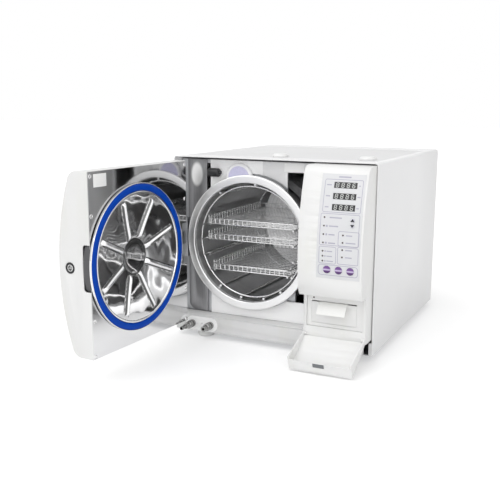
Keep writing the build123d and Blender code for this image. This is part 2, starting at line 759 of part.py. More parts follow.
def chamber_flange():
    """Machined ring round the chamber's mouth."""
    ring = tube_y(MOUTH_Y, MOUTH_Y + FLANGE_THICKNESS, CHAMBER_X, CHAMBER_Z, CHAMBER_BORE, FLANGE_RADIUS)
    front_edges = ring.edges().filter_by(GeomType.CIRCLE).group_by(Axis.Y)[0]
    return fillet(front_edges, FLANGE_EDGE)


def heater_band():
    """Heating jacket clamped round the chamber."""
    y0 = MOUTH_Y + HEATER_START
    inner = CHAMBER_OUTER + CLOSE_GAP
    return tube_y(y0, y0 + HEATER_LENGTH, CHAMBER_X, CHAMBER_Z, inner, inner + HEATER_WALL)


def insulation_jacket():
    """Wool blanket round the chamber and its heating jacket."""
    y0 = MOUTH_Y + INSULATION_START
    inner = CHAMBER_OUTER + 2 * CLOSE_GAP + HEATER_WALL
    return tube_y(y0, y0 + INSULATION_LENGTH, CHAMBER_X, CHAMBER_Z, inner, inner + INSULATION_WALL)


def chamber_cradles():
    """Two upright plates on the base tray that the chamber lies in."""
    pieces = []
    radius = CHAMBER_OUTER + CLOSE_GAP
    front = FRAME_Y + FRAME_WALL + CLOSE_GAP
    rear = MOUTH_Y + INSULATION_START + INSULATION_LENGTH + CLOSE_GAP
    for y0 in (front, rear):
        x0 = CHAMBER_X - CRADLE_WIDTH / 2
        plate = block(x0, x0 + CRADLE_WIDTH, y0, y0 + CRADLE_WALL, PLATE_WALL, CHAMBER_Z - radius / 2)
        seat = rod_y(y0 - OVERRUN, y0 + CRADLE_WALL + OVERRUN, CHAMBER_X, CHAMBER_Z, radius)
        pieces.append(plate - seat)
    return group(pieces)


# Door
def free_edge_notch():
    """The gap in the free edge's wall that the pressure plate's skirt passes through."""
    depth_y = RIM_Y - PLATE_SKIRT_DEPTH - PLATE_FLOAT - PANEL_GAP
    half = NOTCH_HEIGHT / 2
    x0 = DOOR_RIGHT_X - DOOR_WALL - OVERRUN
    x1 = DOOR_RIGHT_X + OVERRUN
    notch = block(x0, x1, depth_y, PANEL_Y + LONG_OVERRUN, CHAMBER_Z - half, CHAMBER_Z + half)
    return fillet(notch.edges().filter_by(Axis.X).group_by(Axis.Y)[0], NOTCH_CORNER)


def door_shell():
    """Bowed outer shell, open at the back, with the free edge's notch and the lock cup's hole."""
    back = PANEL_Y - DOOR_PANEL_WALL
    wall = DOOR_WALL
    corner = BOW_CORNER_RADIUS
    outer = bowed_block(DOOR_LEFT_X, DOOR_RIGHT_X, DOOR_BOTTOM_Z, DOOR_TOP_Z, back, 0.0, corner)
    inner = bowed_block(
        DOOR_LEFT_X + wall,
        DOOR_RIGHT_X - wall,
        DOOR_BOTTOM_Z + wall,
        DOOR_TOP_Z - wall,
        PANEL_Y + OVERRUN,
        -wall,
        corner - wall,
    )
    cup = rod_x(DOOR_RIGHT_X - LONG_OVERRUN, DOOR_RIGHT_X + OVERRUN, LOCK_Y, LOCK_Z, LOCK_RING_RADIUS)
    return outer - inner - free_edge_notch() - cup - hinge_slot()


def hinge_slot():
    """The way that the hinge arm takes through the door's side and back as the door swings."""
    return block(
        DOOR_LEFT_X - OVERRUN,
        HINGE_X + HINGE_BARREL_RADIUS + 2 * PANEL_GAP,
        HINGE_Y - HINGE_BARREL_RADIUS - PANEL_GAP / 2,
        PANEL_Y + LONG_OVERRUN,
        HINGE_LOW_Z - PANEL_GAP,
        HINGE_HIGH_Z + PANEL_GAP,
    )


def door_panel():
    """Mirror sheet over the door's back, with the pressure plate's hole."""
    panel = block(
        DOOR_LEFT_X + PANEL_EDGE,
        DOOR_RIGHT_X - PANEL_EDGE,
        PANEL_Y - DOOR_PANEL_WALL,
        PANEL_Y,
        DOOR_BOTTOM_Z + PANEL_EDGE,
        DOOR_TOP_Z - PANEL_EDGE,
    )
    y0 = PANEL_Y - LONG_OVERRUN
    hole = rod_y(y0, PANEL_Y + LONG_OVERRUN, CHAMBER_X, CHAMBER_Z, PANEL_HOLE_RADIUS)
    return panel - hole - hinge_slot()


def plate_outline():
    """Half section of the pressed plate, as radius and depth: dish, seal groove, rim and skirt."""
    inner = SEAL_INNER - PLATE_SHEET
    groove = RIM_Y + SEAL_HEIGHT - PLATE_SHEET
    floor = RIM_Y - PLATE_DISH
    skirt = PLATE_SKIRT_RADIUS - PLATE_SHEET
    shoulder = RIM_Y - PLATE_RIM_STEP
    return [
        (0, floor),
        (PLATE_HUB_RADIUS, floor),
        (SLOPE_END - PLATE_SHEET, shoulder),
        (inner - 2 * PLATE_SHEET, groove),
        (inner, groove),
        (inner, RIM_Y),
        (PLATE_RADIUS - PLATE_SHEET, RIM_Y),
        (PLATE_RADIUS - PLATE_SHEET, groove),
        (PLATE_RADIUS, groove),
        (PLATE_RADIUS, RIM_Y - PLATE_SHEET),
        (PLATE_SKIRT_RADIUS, RIM_Y - PLATE_SHEET),
        (PLATE_SKIRT_RADIUS, RIM_Y - PLATE_SKIRT_DEPTH),
        (skirt, RIM_Y - PLATE_SKIRT_DEPTH),
        (skirt, RIM_Y - PLATE_SHEET),
        (SLOPE_END, shoulder - PLATE_SHEET),
        (PLATE_HUB_RADIUS, floor - PLATE_SHEET),
        (0, floor - PLATE_SHEET),
    ]


def plate_rib(angle):
    """One pressed rib: a round bar along the dish's slope, turned to its angle."""
    run = SLOPE_END - PLATE_SHEET - PLATE_HUB_RADIUS
    slope = math.degrees(math.atan2(PLATE_DISH - PLATE_RIM_STEP, run))
    bar = Rot(0, 90, 0) * Cylinder(RIB_RADIUS, RIB_END - RIB_START)
    middle = (RIB_START + RIB_END) / 2
    depth = RIM_Y - PLATE_DISH + (middle - PLATE_HUB_RADIUS) * math.tan(math.radians(slope))
    bar = Pos(middle, depth, 0) * Rot(0, 0, slope) * bar
    return Pos(CHAMBER_X, 0, CHAMBER_Z) * Rot(0, angle, 0) * bar


def door_plate():
    """Dished pressing with a seal groove, a skirt, eight pressed ribs and its guide pin behind."""
    outline = Polyline(*[Vector(CHAMBER_X + r, y, CHAMBER_Z) for r, y in plate_outline()], close=True)
    plate = revolve(make_face(outline), Axis((CHAMBER_X, 0, CHAMBER_Z), (0, 1, 0)), 360)
    for number in range(RIB_COUNT):
        plate = plate + plate_rib(RIB_FIRST_ANGLE + number * 360 / RIB_COUNT)
    back = RIM_Y - PLATE_DISH - PLATE_SHEET
    pin = rod_y(back - PLATE_PIN_LENGTH, back + PLATE_SHEET / 2, CHAMBER_X, CHAMBER_Z, PLATE_PIN_RADIUS)
    return plate + pin


def door_seal():
    """Moulded silicone ring in the plate's groove, with a raised sealing bead."""
    inner = CHAMBER_X + SEAL_INNER + CLOSE_GAP
    outer = CHAMBER_X + PLATE_RADIUS - PLATE_SHEET - CLOSE_GAP
    shoulder = SEAL_Y - SEAL_BEAD
    base = Line((inner, RIM_Y, CHAMBER_Z), (outer, RIM_Y, CHAMBER_Z))
    right = Line(base @ 1, (outer, shoulder, CHAMBER_Z))
    crown = ThreePointArc(right @ 1, ((inner + outer) / 2, SEAL_Y, CHAMBER_Z), (inner, shoulder, CHAMBER_Z))
    left = Line(crown @ 1, base @ 0)
    axis = Axis((CHAMBER_X, 0, CHAMBER_Z), (0, 1, 0))
    return revolve(make_face([base, right, crown, left]), axis, 360)


def crossbar():
    """Steel bridge inside the door, from the hinge to the lock side, that guides the plate's pin."""
    half = CROSSBAR_HEIGHT / 2
    sixth = HINGE_HEIGHT / 6
    y0 = HINGE_Y - BRIDGE_SET
    right = DOOR_RIGHT_X - DOOR_WALL - PANEL_GAP - LOCK_CUP_DEPTH
    bar = block(HINGE_X, right, y0, y0 + CROSSBAR_WALL, CHAMBER_Z - half, CHAMBER_Z + half)
    room = HINGE_BARREL_RADIUS + 2 * PANEL_GAP
    low = CHAMBER_Z - sixth
    high = CHAMBER_Z + sixth
    bar = bar - block(HINGE_X - room, HINGE_X + room, HINGE_Y - room, HINGE_Y + room, low, high)
    bar = bar + rod_z(high, HINGE_HIGH_Z, HINGE_X, HINGE_Y, HINGE_BARREL_RADIUS)
    bar = bar + rod_z(HINGE_LOW_Z, low, HINGE_X, HINGE_Y, HINGE_BARREL_RADIUS)
    bar = bar - rod_z(HINGE_LOW_Z - OVERRUN, HINGE_HIGH_Z + OVERRUN, HINGE_X, HINGE_Y, HINGE_PIN_RADIUS)
    plate_back = RIM_Y - PLATE_DISH - PLATE_SHEET
    boss_end = plate_back - PLATE_FLOAT - CLOSE_GAP
    bar = bar + rod_y(y0, boss_end, CHAMBER_X, CHAMBER_Z, BRIDGE_BOSS_RADIUS)
    pin_end = plate_back - PLATE_PIN_LENGTH - PLATE_FLOAT - PANEL_GAP
    return bar - rod_y(pin_end, boss_end + OVERRUN, CHAMBER_X, CHAMBER_Z, PLATE_PIN_RADIUS + RUNNING_GAP)


def hinge_pin():
    """Steel pin that the door turns on."""
    return rod_z(HINGE_LOW_Z, HINGE_HIGH_Z, HINGE_X, HINGE_Y, HINGE_PIN_RADIUS)


def lock_cup():
    """Steel cup in the door's free edge that takes the lock bolt."""
    x0 = DOOR_RIGHT_X - DOOR_WALL - LOCK_CUP_DEPTH
    cup = rod_x(x0, DOOR_RIGHT_X + LOCK_CUP_PROUD, LOCK_Y, LOCK_Z, LOCK_RING_RADIUS)
    return cup - rod_x(x0 + LOCK_CUP_FLOOR, DOOR_RIGHT_X + LONG_OVERRUN, LOCK_Y, LOCK_Z, LOCK_HOLE_RADIUS)


def panel_screws():
    """Four screw heads down each side of the door's inner panel."""
    pieces = []
    reach = PANEL_EDGE + PANEL_SCREW_INSET
    for x in (DOOR_LEFT_X + reach, DOOR_RIGHT_X - reach):
        for z in PANEL_SCREW_Z:
            pieces.append(rod_y(PANEL_Y, PANEL_Y + PANEL_SCREW_RISE, x, z, PANEL_SCREW_HEAD))
    return group(pieces)


# Lock bolt and its motor, inside the control column
def lock_bolt():
    """Round bolt, drawn back flush with the column's side."""
    x0 = COLUMN_LEFT_X + CLOSE_GAP
    return rod_x(x0, x0 + LOCK_BOLT_LENGTH, LOCK_Y, LOCK_Z, LOCK_BOLT_RADIUS)


def lock_motor():
    """Motor and gearbox that drive the bolt, against the column's inner side."""
    x0 = COLUMN_LEFT_X + COLUMN_WALL + CLOSE_GAP
    x1 = x0 + LOCK_MOTOR_LENGTH
    y0 = LOCK_Y - LOCK_MOTOR_HALF_WIDTH
    y1 = LOCK_Y + LOCK_MOTOR_HALF_WIDTH
    z0 = LOCK_Z - LOCK_MOTOR_HALF_HEIGHT
    z1 = LOCK_Z + LOCK_MOTOR_HALF_HEIGHT
    bore = rod_x(x0 - OVERRUN, x1 + OVERRUN, LOCK_Y, LOCK_Z, LOCK_BOLT_RADIUS + RUNNING_GAP)
    return block(x0, x1, y0, y1, z0, z1) - bore


# Control column
def bay_space(wall):
    """The room of the printer's bay, or of the sheet behind it, in front of the column."""
    lip_front = bow_y(LIP_TOP_Z)
    far = FRONT_Y - 2 * BOW_DEPTH
    points = [
        (far, 0),
        (BAY_Y + wall, 0),
        (BAY_Y + wall, LIP_BOTTOM_Z + wall),
        (lip_front + LIP_SETBACK + wall, LIP_BOTTOM_Z + wall),
        (lip_front + wall, LIP_TOP_Z + wall),
        (far, LIP_TOP_Z + wall),
    ]
    return prism_x(COLUMN_LEFT_X - OVERRUN, COLUMN_RIGHT_X + OVERRUN, points)


def column_block(margin, top_margin, back):
    """The column's outer form, or the room inside its walls."""
    return bowed_block(
        COLUMN_LEFT_X + margin,
        COLUMN_RIGHT_X - margin,
        SKIRT_HEIGHT + margin,
        COLUMN_TOP_Z - top_margin,
        back,
        -margin,
        BOW_CORNER_RADIUS - margin,
    )


def column_housing():
    """Bowed housing of the control column, with the printer's bay, flap lugs and board posts."""
    wall = COLUMN_WALL
    solid = column_block(0.0, 0.0, FASCIA_Y) - bay_space(0.0)
    hollow = column_block(wall, wall, FASCIA_Y + OVERRUN) - bay_space(wall)
    left = COLUMN_LEFT_X + BAY_SIDE
    right = COLUMN_RIGHT_X - BAY_SIDE
    window = block(left, right, BAY_Y - OVERRUN, BAY_Y + wall + OVERRUN, BAY_BOTTOM_Z, bay_top())
    housing = solid - hollow - window
    for post in board_posts():
        housing = housing + (post & solid)
    for side in (-1, 1):
        edge = COLUMN_LEFT_X if side < 0 else COLUMN_RIGHT_X
        eye_end = edge - side * (FLAP_EYE_WIDTH + CLOSE_GAP)
        lug_end = eye_end - side * FLAP_LUG_WIDTH
        eye_room = rod_x(edge + side, eye_end, FLAP_HINGE_Y, FLAP_HINGE_Z, FLAP_EYE_RADIUS + CLOSE_GAP)
        lug = rod_x(eye_end, lug_end, FLAP_HINGE_Y, FLAP_HINGE_Z, FLAP_LUG_RADIUS)
        low = FLAP_HINGE_Z - FLAP_LUG_RADIUS
        high = FLAP_HINGE_Z + FLAP_LUG_RADIUS
        web = block(eye_end, lug_end, FLAP_HINGE_Y, BAY_Y + OVERRUN, low, high)
        housing = housing - eye_room + lug + web
    pins = rod_x(COLUMN_LEFT_X, COLUMN_RIGHT_X, FLAP_HINGE_Y, FLAP_HINGE_Z, FLAP_PIN_RADIUS + RUNNING_GAP)
    housing = housing - pins
    for cut in display_cuts() + key_cuts() + led_cuts():
        housing = housing - cut
    x0 = COLUMN_LEFT_X - LONG_OVERRUN
    x1 = COLUMN_LEFT_X + LONG_OVERRUN
    return housing - rod_x(x0, x1, LOCK_Y, LOCK_Z, LOCK_BOLT_RADIUS + CLOSE_GAP)


def bay_top():
    """Upper edge of the opening in the bay's back, half a wall below the lip."""
    return LIP_BOTTOM_Z - COLUMN_WALL / 2


def on_bow(x, z, outward=0.0):
    """A place on the front surface, leaning with it; local -Y points out."""
    lean = bow_angle(z)
    return Pos(x, bow_y(z), z) * Rot(-lean, 0, 0) * Pos(0, -outward, 0)


def display_places():
    """Middles of the digit displays, as X and Z."""
    return [(DISPLAY_X, DISPLAY_TOP_Z - number * DISPLAY_PITCH) for number in range(DISPLAY_COUNT)]


def key_places():
    """Middles of the round keys, as X and Z."""
    return [(KEY_FIRST_X + number * KEY_PITCH, KEY_Z) for number in range(KEY_COUNT)]


def led_row(x, top_z, pitch, count):
    """Middles of one upright row of lamps, from its top."""
    return [(x, top_z - number * pitch) for number in range(count)]


def led_places():
    """Middles of all lamps: programmes, stages and status boxes."""
    programs = led_row(LED_COLUMN_X, PROGRAM_LED_TOP_Z, PROGRAM_LED_PITCH, PROGRAM_LED_COUNT)
    stages = led_row(LED_COLUMN_X, STAGE_LED_TOP_Z, STAGE_LED_PITCH, STAGE_LED_COUNT)
    boxes = led_row(BOX_LED_X, BOX_LED_TOP_Z, BOX_LED_PITCH, BOX_LED_COUNT)
    return programs + stages + boxes


def display_cuts():
    """Openings of the digit displays through the film and the housing."""
    width = DISPLAY_WIDTH + 2 * CLOSE_GAP
    height = DISPLAY_HEIGHT + 2 * CLOSE_GAP
    return [on_bow(x, z) * Box(width, 2 * DISPLAY_DEPTH, height) for x, z in display_places()]


def round_cut(x, z, radius):
    """One round opening through the film and the housing."""
    return on_bow(x, z) * Rot(90, 0, 0) * Cylinder(radius + CLOSE_GAP, 2 * DISPLAY_DEPTH)


def key_cuts():
    """Openings of the three round keys and the two arrow keys."""
    keys = [round_cut(x, z, KEY_RADIUS) for x, z in key_places()]
    return keys + [round_cut(ARROW_X, z, ARROW_RADIUS) for z in (ARROW_UPPER_Z, ARROW_LOWER_Z)]


def led_cuts():
    """Openings of the indicator lamps."""
    return [round_cut(x, z, LED_RADIUS) for x, z in led_places()]


def keypad_film():
    """Thin printed sheet that follows the bow over the displays, lamps and keys."""
    inner_edge = bow_edge(FILM_LEFT_X, FILM_BOTTOM_Z, FILM_TOP_Z, 0.0)
    outer_edge = bow_edge(FILM_LEFT_X, FILM_BOTTOM_Z, FILM_TOP_Z, FILM_WALL)
    low = Line(inner_edge @ 0, outer_edge @ 0)
    high = Line(inner_edge @ 1, outer_edge @ 1)
    face = make_face([inner_edge, high, outer_edge, low])
    film = extrude(face, amount=FILM_RIGHT_X - FILM_LEFT_X, dir=Vector(1, 0, 0))
    for cut in display_cuts() + key_cuts() + led_cuts():
        film = film - cut
    return film


def led_displays():
    """Three equal digit displays behind the film."""
    module = Pos(0, DISPLAY_DEPTH / 2, 0) * Box(DISPLAY_WIDTH, DISPLAY_DEPTH, DISPLAY_HEIGHT)
    return group([on_bow(x, z, FILM_WALL) * module for x, z in display_places()])


def indicator_leds():
    """Small round lamps, in a column at the left and beside the status boxes."""
    lamp = Pos(0, DISPLAY_DEPTH / 2, 0) * Rot(90, 0, 0) * Cylinder(LED_RADIUS, DISPLAY_DEPTH)
    return group([on_bow(x, z, FILM_WALL) * lamp for x, z in led_places()])


def round_key(x, z, radius):
    """One key: a cap through the film with a wider foot behind the wall."""
    depth = COLUMN_WALL + FILM_WALL + CLOSE_GAP
    cap = Pos(0, (depth - KEY_PROUD) / 2, 0) * Rot(90, 0, 0) * Cylinder(radius, depth + KEY_PROUD)
    cap = fillet(cap.faces().sort_by(Axis.Y)[0].edges(), KEY_EDGE)
    foot = Pos(0, depth + KEY_FLANGE / 2, 0) * Rot(90, 0, 0) * Cylinder(radius + KEY_FOOT, KEY_FLANGE)
    return on_bow(x, z, FILM_WALL) * (cap + foot)


def board_place():
    """Middle of the board behind the keys and displays; it leans with the front there."""
    x = (FILM_LEFT_X + FILM_RIGHT_X) / 2
    return on_bow(x, (BOARD_BOTTOM_Z + BOARD_TOP_Z) / 2, FILM_WALL) * Pos(0, BOARD_DEPTH, 0)


def board_posts():
    """Four posts that reach from the board's corners through the housing's wall."""
    across = (FILM_RIGHT_X - FILM_LEFT_X) / 2 - BOARD_INSET - BOARD_POST_RADIUS
    up = (BOARD_TOP_Z - BOARD_BOTTOM_Z) / 2 - BOARD_POST_RADIUS
    bar = Rot(90, 0, 0) * Cylinder(BOARD_POST_RADIUS, 2 * BOARD_DEPTH)
    y = -BOARD_WALL / 2 - BOARD_DEPTH
    return [board_place() * Pos(i * across, y, k * up) * bar for i in (-1, 1) for k in (-1, 1)]


def key_board():
    """Circuit board that carries the displays, lamps and key switches."""
    width = FILM_RIGHT_X - FILM_LEFT_X - 2 * BOARD_INSET
    return board_place() * Box(width, BOARD_WALL, BOARD_TOP_Z - BOARD_BOTTOM_Z)


# Printer
def printer_opening():
    """The panel's opening: the lid, its hinge pins' room and the paper slot above it."""
    left = PRINTER_LID_LEFT_X - CLOSE_GAP
    right = PRINTER_LID_RIGHT_X + CLOSE_GAP
    bottom = PRINTER_LID_BOTTOM_Z - PANEL_GAP
    y0 = PRINTER_Y - OVERRUN
    y1 = PRINTER_BACK_Y + OVERRUN
    return block(left, right, y0, y1, bottom, PRINTER_LID_TOP_Z + SLOT_OPENING)


def printer_body():
    """Printer's front plate and the tub behind it that holds the paper roll."""
    left = COLUMN_LEFT_X + BAY_SIDE + CLOSE_GAP
    right = COLUMN_RIGHT_X - BAY_SIDE - CLOSE_GAP
    bottom = BAY_BOTTOM_Z + CLOSE_GAP
    plate = block(left, right, PRINTER_Y, PRINTER_BACK_Y, bottom, bay_top() - CLOSE_GAP)
    x0 = PRINTER_LID_LEFT_X - CLOSE_GAP
    x1 = PRINTER_LID_RIGHT_X + CLOSE_GAP
    z0 = tub_floor() - TUB_WALL
    z1 = PRINTER_LID_TOP_Z + TUB_RISE
    back = PRINTER_BACK_Y + TUB_DEPTH
    tub = block(x0 - TUB_WALL, x1 + TUB_WALL, PRINTER_BACK_Y, back, z0, z1)
    hollow = block(x0, x1, PRINTER_BACK_Y, back - TUB_WALL, tub_floor(), z1 - TUB_WALL)
    pins = rod_x(
        PRINTER_LID_LEFT_X - PRINTER_PIN_LENGTH - PANEL_GAP,
        PRINTER_LID_RIGHT_X + PRINTER_PIN_LENGTH + PANEL_GAP,
        PRINTER_HINGE_Y,
        PRINTER_HINGE_Z,
        PRINTER_PIN_RADIUS + RUNNING_GAP,
    )
    return plate - printer_opening() + (tub - hollow) - pins


def tub_floor():
    """Height of the paper tub's floor."""
    return PRINTER_LID_BOTTOM_Z - PANEL_GAP


def printer_lid():
    """Lid of the paper tub, with hinge pins at its lower edge and ears for the platen roller."""
    x0 = PRINTER_LID_LEFT_X
    x1 = PRINTER_LID_RIGHT_X
    lid = block(x0, x1, PRINTER_Y, PRINTER_BACK_Y, PRINTER_LID_BOTTOM_Z, PRINTER_LID_TOP_Z)
    for x in (PRINTER_X - PAPER_WIDTH / 2 - 2 * EAR_WALL, PRINTER_X + PAPER_WIDTH / 2 + EAR_WALL):
        low = PLATEN_Z - 2 * EAR_WALL
        high = PRINTER_LID_TOP_Z - EAR_WALL / 2
        lid = lid + block(x, x + EAR_WALL, PRINTER_BACK_Y, PRINTER_BACK_Y + EAR_DEPTH, low, high)
    lid = lid - rod_x(x0, x1, PLATEN_Y, PLATEN_Z, PLATEN_SHAFT_RADIUS + RUNNING_GAP)
    reach = PRINTER_PIN_LENGTH
    return lid + rod_x(x0 - reach, x1 + reach, PRINTER_HINGE_Y, PRINTER_HINGE_Z, PRINTER_PIN_RADIUS)


def platen_roller():
    """Rubber roller on a shaft that turns in the lid's ears."""
    half = PAPER_WIDTH / 2
    reach = half + 2 * EAR_WALL
    roll = rod_x(PRINTER_X - half, PRINTER_X + half, PLATEN_Y, PLATEN_Z, PLATEN_RADIUS)
    return roll + rod_x(PRINTER_X - reach, PRINTER_X + reach, PLATEN_Y, PLATEN_Z, PLATEN_SHAFT_RADIUS)


def paper_roll():
    """Roll of paper that lies loose in the tub."""
    half = PAPER_WIDTH / 2
    y = PLATEN_Y + PAPER_ROLL_SET
    z = tub_floor() + PAPER_ROLL_RADIUS + CLOSE_GAP
    roll = rod_x(PRINTER_X - half, PRINTER_X + half, y, z, PAPER_ROLL_RADIUS)
    return roll - rod_x(PRINTER_X - PAPER_WIDTH, PRINTER_X + PAPER_WIDTH, y, z, PAPER_CORE_RADIUS)


def paper_strip():
    """Printed strip: from the platen out through the slot, then leaning forward and down."""
    half = PAPER_WIDTH / 2
    bend_y = PRINTER_Y - PAPER_SHEET
    bend_z = PRINTER_LID_TOP_Z + SLOT_OPENING / 2
    route = [
        (PLATEN_Y, PLATEN_Z + PLATEN_RADIUS + CLOSE_GAP),
        (bend_y, bend_z),
        (bend_y - PAPER_REACH, bend_z - PAPER_DROP),
    ]
    upper = [(y, z + PAPER_SHEET) for y, z in reversed(route)]
    return prism_x(PRINTER_X - half, PRINTER_X + half, route + upper)


def printer_flap():
    """Cover of the printer's bay in its closed place: bowed front, two sides, top lip and hinge eyes."""
    outer = column_block(0.0, 0.0, FASCIA_Y)
    inner = column_block(FLAP_WALL, -OVERRUN, FASCIA_Y + OVERRUN)
    far = FRONT_Y - 2 * BOW_DEPTH
    x0 = COLUMN_LEFT_X - OVERRUN
    x1 = COLUMN_RIGHT_X + OVERRUN
    room = block(x0, x1, far, BAY_Y - PANEL_GAP, FLAP_BOTTOM_Z, FLAP_TOP_Z)
    flap = (outer - inner) & room
    lip_front = bow_y(FLAP_TOP_Z) + FLAP_WALL / 2
    lip_under = FLAP_TOP_Z - FLAP_WALL
    flap = flap + block(COLUMN_LEFT_X, COLUMN_RIGHT_X, lip_front, lip_back_y(), lip_under, FLAP_TOP_Z)
    for edge, inward in ((COLUMN_LEFT_X, 1), (COLUMN_RIGHT_X, -1)):
        eye_end = edge + inward * FLAP_EYE_WIDTH
        flap = flap + rod_x(edge, eye_end, FLAP_HINGE_Y, FLAP_HINGE_Z, FLAP_EYE_RADIUS)
        flap = flap - rod_x(edge, eye_end, FLAP_HINGE_Y, FLAP_HINGE_Z, FLAP_PIN_RADIUS + RUNNING_GAP)
    return flap - catch_space(CLOSE_GAP)


def lip_back_y():
    """Rear edge of the closed flap's top lip."""
    return bow_y(FLAP_TOP_Z) + FLAP_LIP_DEPTH


def catch_space(margin):
    """The catch's body, or its pocket in the flap's top lip."""
    y1 = lip_back_y() - PANEL_GAP + margin
    y0 = lip_back_y() - PANEL_GAP - CATCH_DEPTH - margin
    z0 = FLAP_TOP_Z - FLAP_WALL - PANEL_GAP
    return block(CATCH_X - margin, CATCH_X + CATCH_WIDTH + margin, y0, y1, z0, FLAP_TOP_Z + CATCH_PROUD)


def flap_pins():
    """One steel pin a side, through the flap's eye into the column's lug."""
    length = FLAP_EYE_WIDTH + FLAP_LUG_WIDTH
    left = COLUMN_LEFT_X + CLOSE_GAP
    right = COLUMN_RIGHT_X - CLOSE_GAP - length
    return group([rod_x(x, x + length, FLAP_HINGE_Y, FLAP_HINGE_Z, FLAP_PIN_RADIUS) for x in (left, right)])


def flap_catch():
    """Catch set in the flap's top lip."""
    return catch_space(0.0)


def lid_grips():
    """Two low domed grips on the lid's front edge."""
    pieces = []
    for x in GRIP_X:
        y = LID_FRONT_Y + GRIP_RADIUS + LID_WALL
        grip = rod_z(CASE_HEIGHT, CASE_HEIGHT + GRIP_HEIGHT, x, y, GRIP_RADIUS)
        pieces.append(fillet(grip.edges().group_by(Axis.Z)[-1], GRIP_HEIGHT - LID_WALL))
    return group(pieces)


# Rack and trays
def tray_floor(level):
    """Height of a tray's upper side, with level 0 on top."""
    return TOP_TRAY_FLOOR_Z - level * TRAY_LEVEL_PITCH


def tray_width(level):
    """Width of the tray that a level takes: only the lowest level's is narrow."""
    return UPPER_TRAY_WIDTH if level < WIDE_LEVELS else LOWER_TRAY_WIDTH


def tray_rack():
    """Two round hoops, the runner rods outside them and two tray rails a side on each level."""
    rear = RACK_Y + RACK_LENGTH
    rack = None
    for y in (HOOP_Y, rear - 2 * RACK_WIRE):
        outer = RAIL_CIRCLE + 2 * RACK_WIRE
        hoop = tube_y(y - RACK_WIRE, y + RACK_WIRE, CHAMBER_X, CHAMBER_Z, RAIL_CIRCLE, outer)
        rack = hoop if rack is None else rack + hoop
    for angle in RUNNER_ANGLES:
        x = CHAMBER_X + RUNNER_CIRCLE * math.cos(math.radians(angle))
        z = CHAMBER_Z + RUNNER_CIRCLE * math.sin(math.radians(angle))
        rack = rack + rod_y(RACK_Y, rear, x, z, RUNNER_RADIUS)
    for level in range(RACK_LEVELS):
        z = tray_floor(level) - TRAY_SHEET - RACK_WIRE
        reach = math.sqrt(RAIL_CIRCLE**2 - (z - CHAMBER_Z) ** 2)
        for side in (-1, 1):
            outer = CHAMBER_X + side * reach
            inner = CHAMBER_X + side * (tray_width(level) / 2 - TRAY_REST)
            for x in (outer, inner):
                rack = rack + rod_y(RACK_Y, rear, x, z, RACK_WIRE)
            for y in (HOOP_Y + RAIL_TIE_SET, (HOOP_Y + rear) / 2, rear - RAIL_TIE_SET):
                rack = rack + rod_x(inner, outer, y, z, RACK_WIRE)
    return rack


def tray(level):
    """A shallow open tray that rests on its level's rails, its long sides higher than its ends."""
    width = tray_width(level)
    z0 = tray_floor(level) - TRAY_SHEET + CLOSE_GAP
    y0 = TRAY_FRONT_Y
    x0 = CHAMBER_X - width / 2
    wall = TRAY_SHEET
    outer = block(x0, x0 + width, y0, y0 + TRAY_LENGTH, z0, z0 + TRAY_DEPTH)
    outer = fillet(outer.edges().filter_by(Axis.Z), TRAY_CORNER)
    y1 = y0 + TRAY_LENGTH
    z1 = z0 + TRAY_DEPTH + OVERRUN
    inner = block(x0 + wall, x0 + width - wall, y0 + wall, y1 - wall, z0 + wall, z1)
    inner = fillet(inner.edges().filter_by(Axis.Z), TRAY_CORNER - wall)
    made = outer - inner
    side_top = z0 + TRAY_DEPTH + TRAY_SIDE_RISE
    for x in (x0, x0 + width - wall):
        made = made + block(x, x + wall, y0 + TRAY_CORNER, y1 - TRAY_CORNER, z0, side_top)
    return made


# Parts round the chamber mouth
def air_filter():
    """Round filter that pushes into its port, its underside hollowed to clear the chamber."""
    y0 = FASCIA_Y - FILTER_PROUD
    body = rod_y(y0, FASCIA_Y, FILTER_X, FILTER_Z, FILTER_RADIUS)
    body = fillet(body.edges().filter_by(GeomType.CIRCLE).group_by(Axis.Y)[0], FILTER_EDGE)
    body = body - chamber_hole(CHAMBER_OUTER + PANEL_GAP)
    neck_end = FRAME_Y + FILTER_NECK_LENGTH
    return body + rod_y(FASCIA_Y - OVERRUN, neck_end, FILTER_X, FILTER_NECK_Z, FILTER_NECK_RADIUS)


def door_switch():
    """Black switch body beside the post, with its short plunger."""
    y = FASCIA_Y - SWITCH_RADIUS - CLOSE_GAP
    body = rod_x(SWITCH_LEFT_X, SWITCH_RIGHT_X, y, SWITCH_Z, SWITCH_RADIUS)
    body = fillet(body.edges().filter_by(GeomType.CIRCLE).group_by(Axis.X)[-1], SWITCH_EDGE)
    plunger = rod_x(SWITCH_RIGHT_X - OVERRUN, SWITCH_RIGHT_X + PLUNGER_LENGTH, y, SWITCH_Z, PLUNGER_RADIUS)
    return body + plunger


def drain_plate():
    """Flat plate on the skirt that carries the two drain couplings."""
    x0, x1 = DRAIN_X
    y0 = FRONT_Y - DRAIN_PLATE_WALL
    plate = block(x0, x1, y0, FRONT_Y, DRAIN_Z - DRAIN_PLATE_RADIUS, DRAIN_Z + DRAIN_PLATE_RADIUS)
    for x in DRAIN_X:
        plate = plate + rod_y(y0, FRONT_Y, x, DRAIN_Z, DRAIN_PLATE_RADIUS)
    for x in DRAIN_X:
        plate = plate - rod_y(y0 - OVERRUN, FRONT_Y + OVERRUN, x, DRAIN_Z, DRAIN_SHANK_RADIUS + CLOSE_GAP)
    return plate


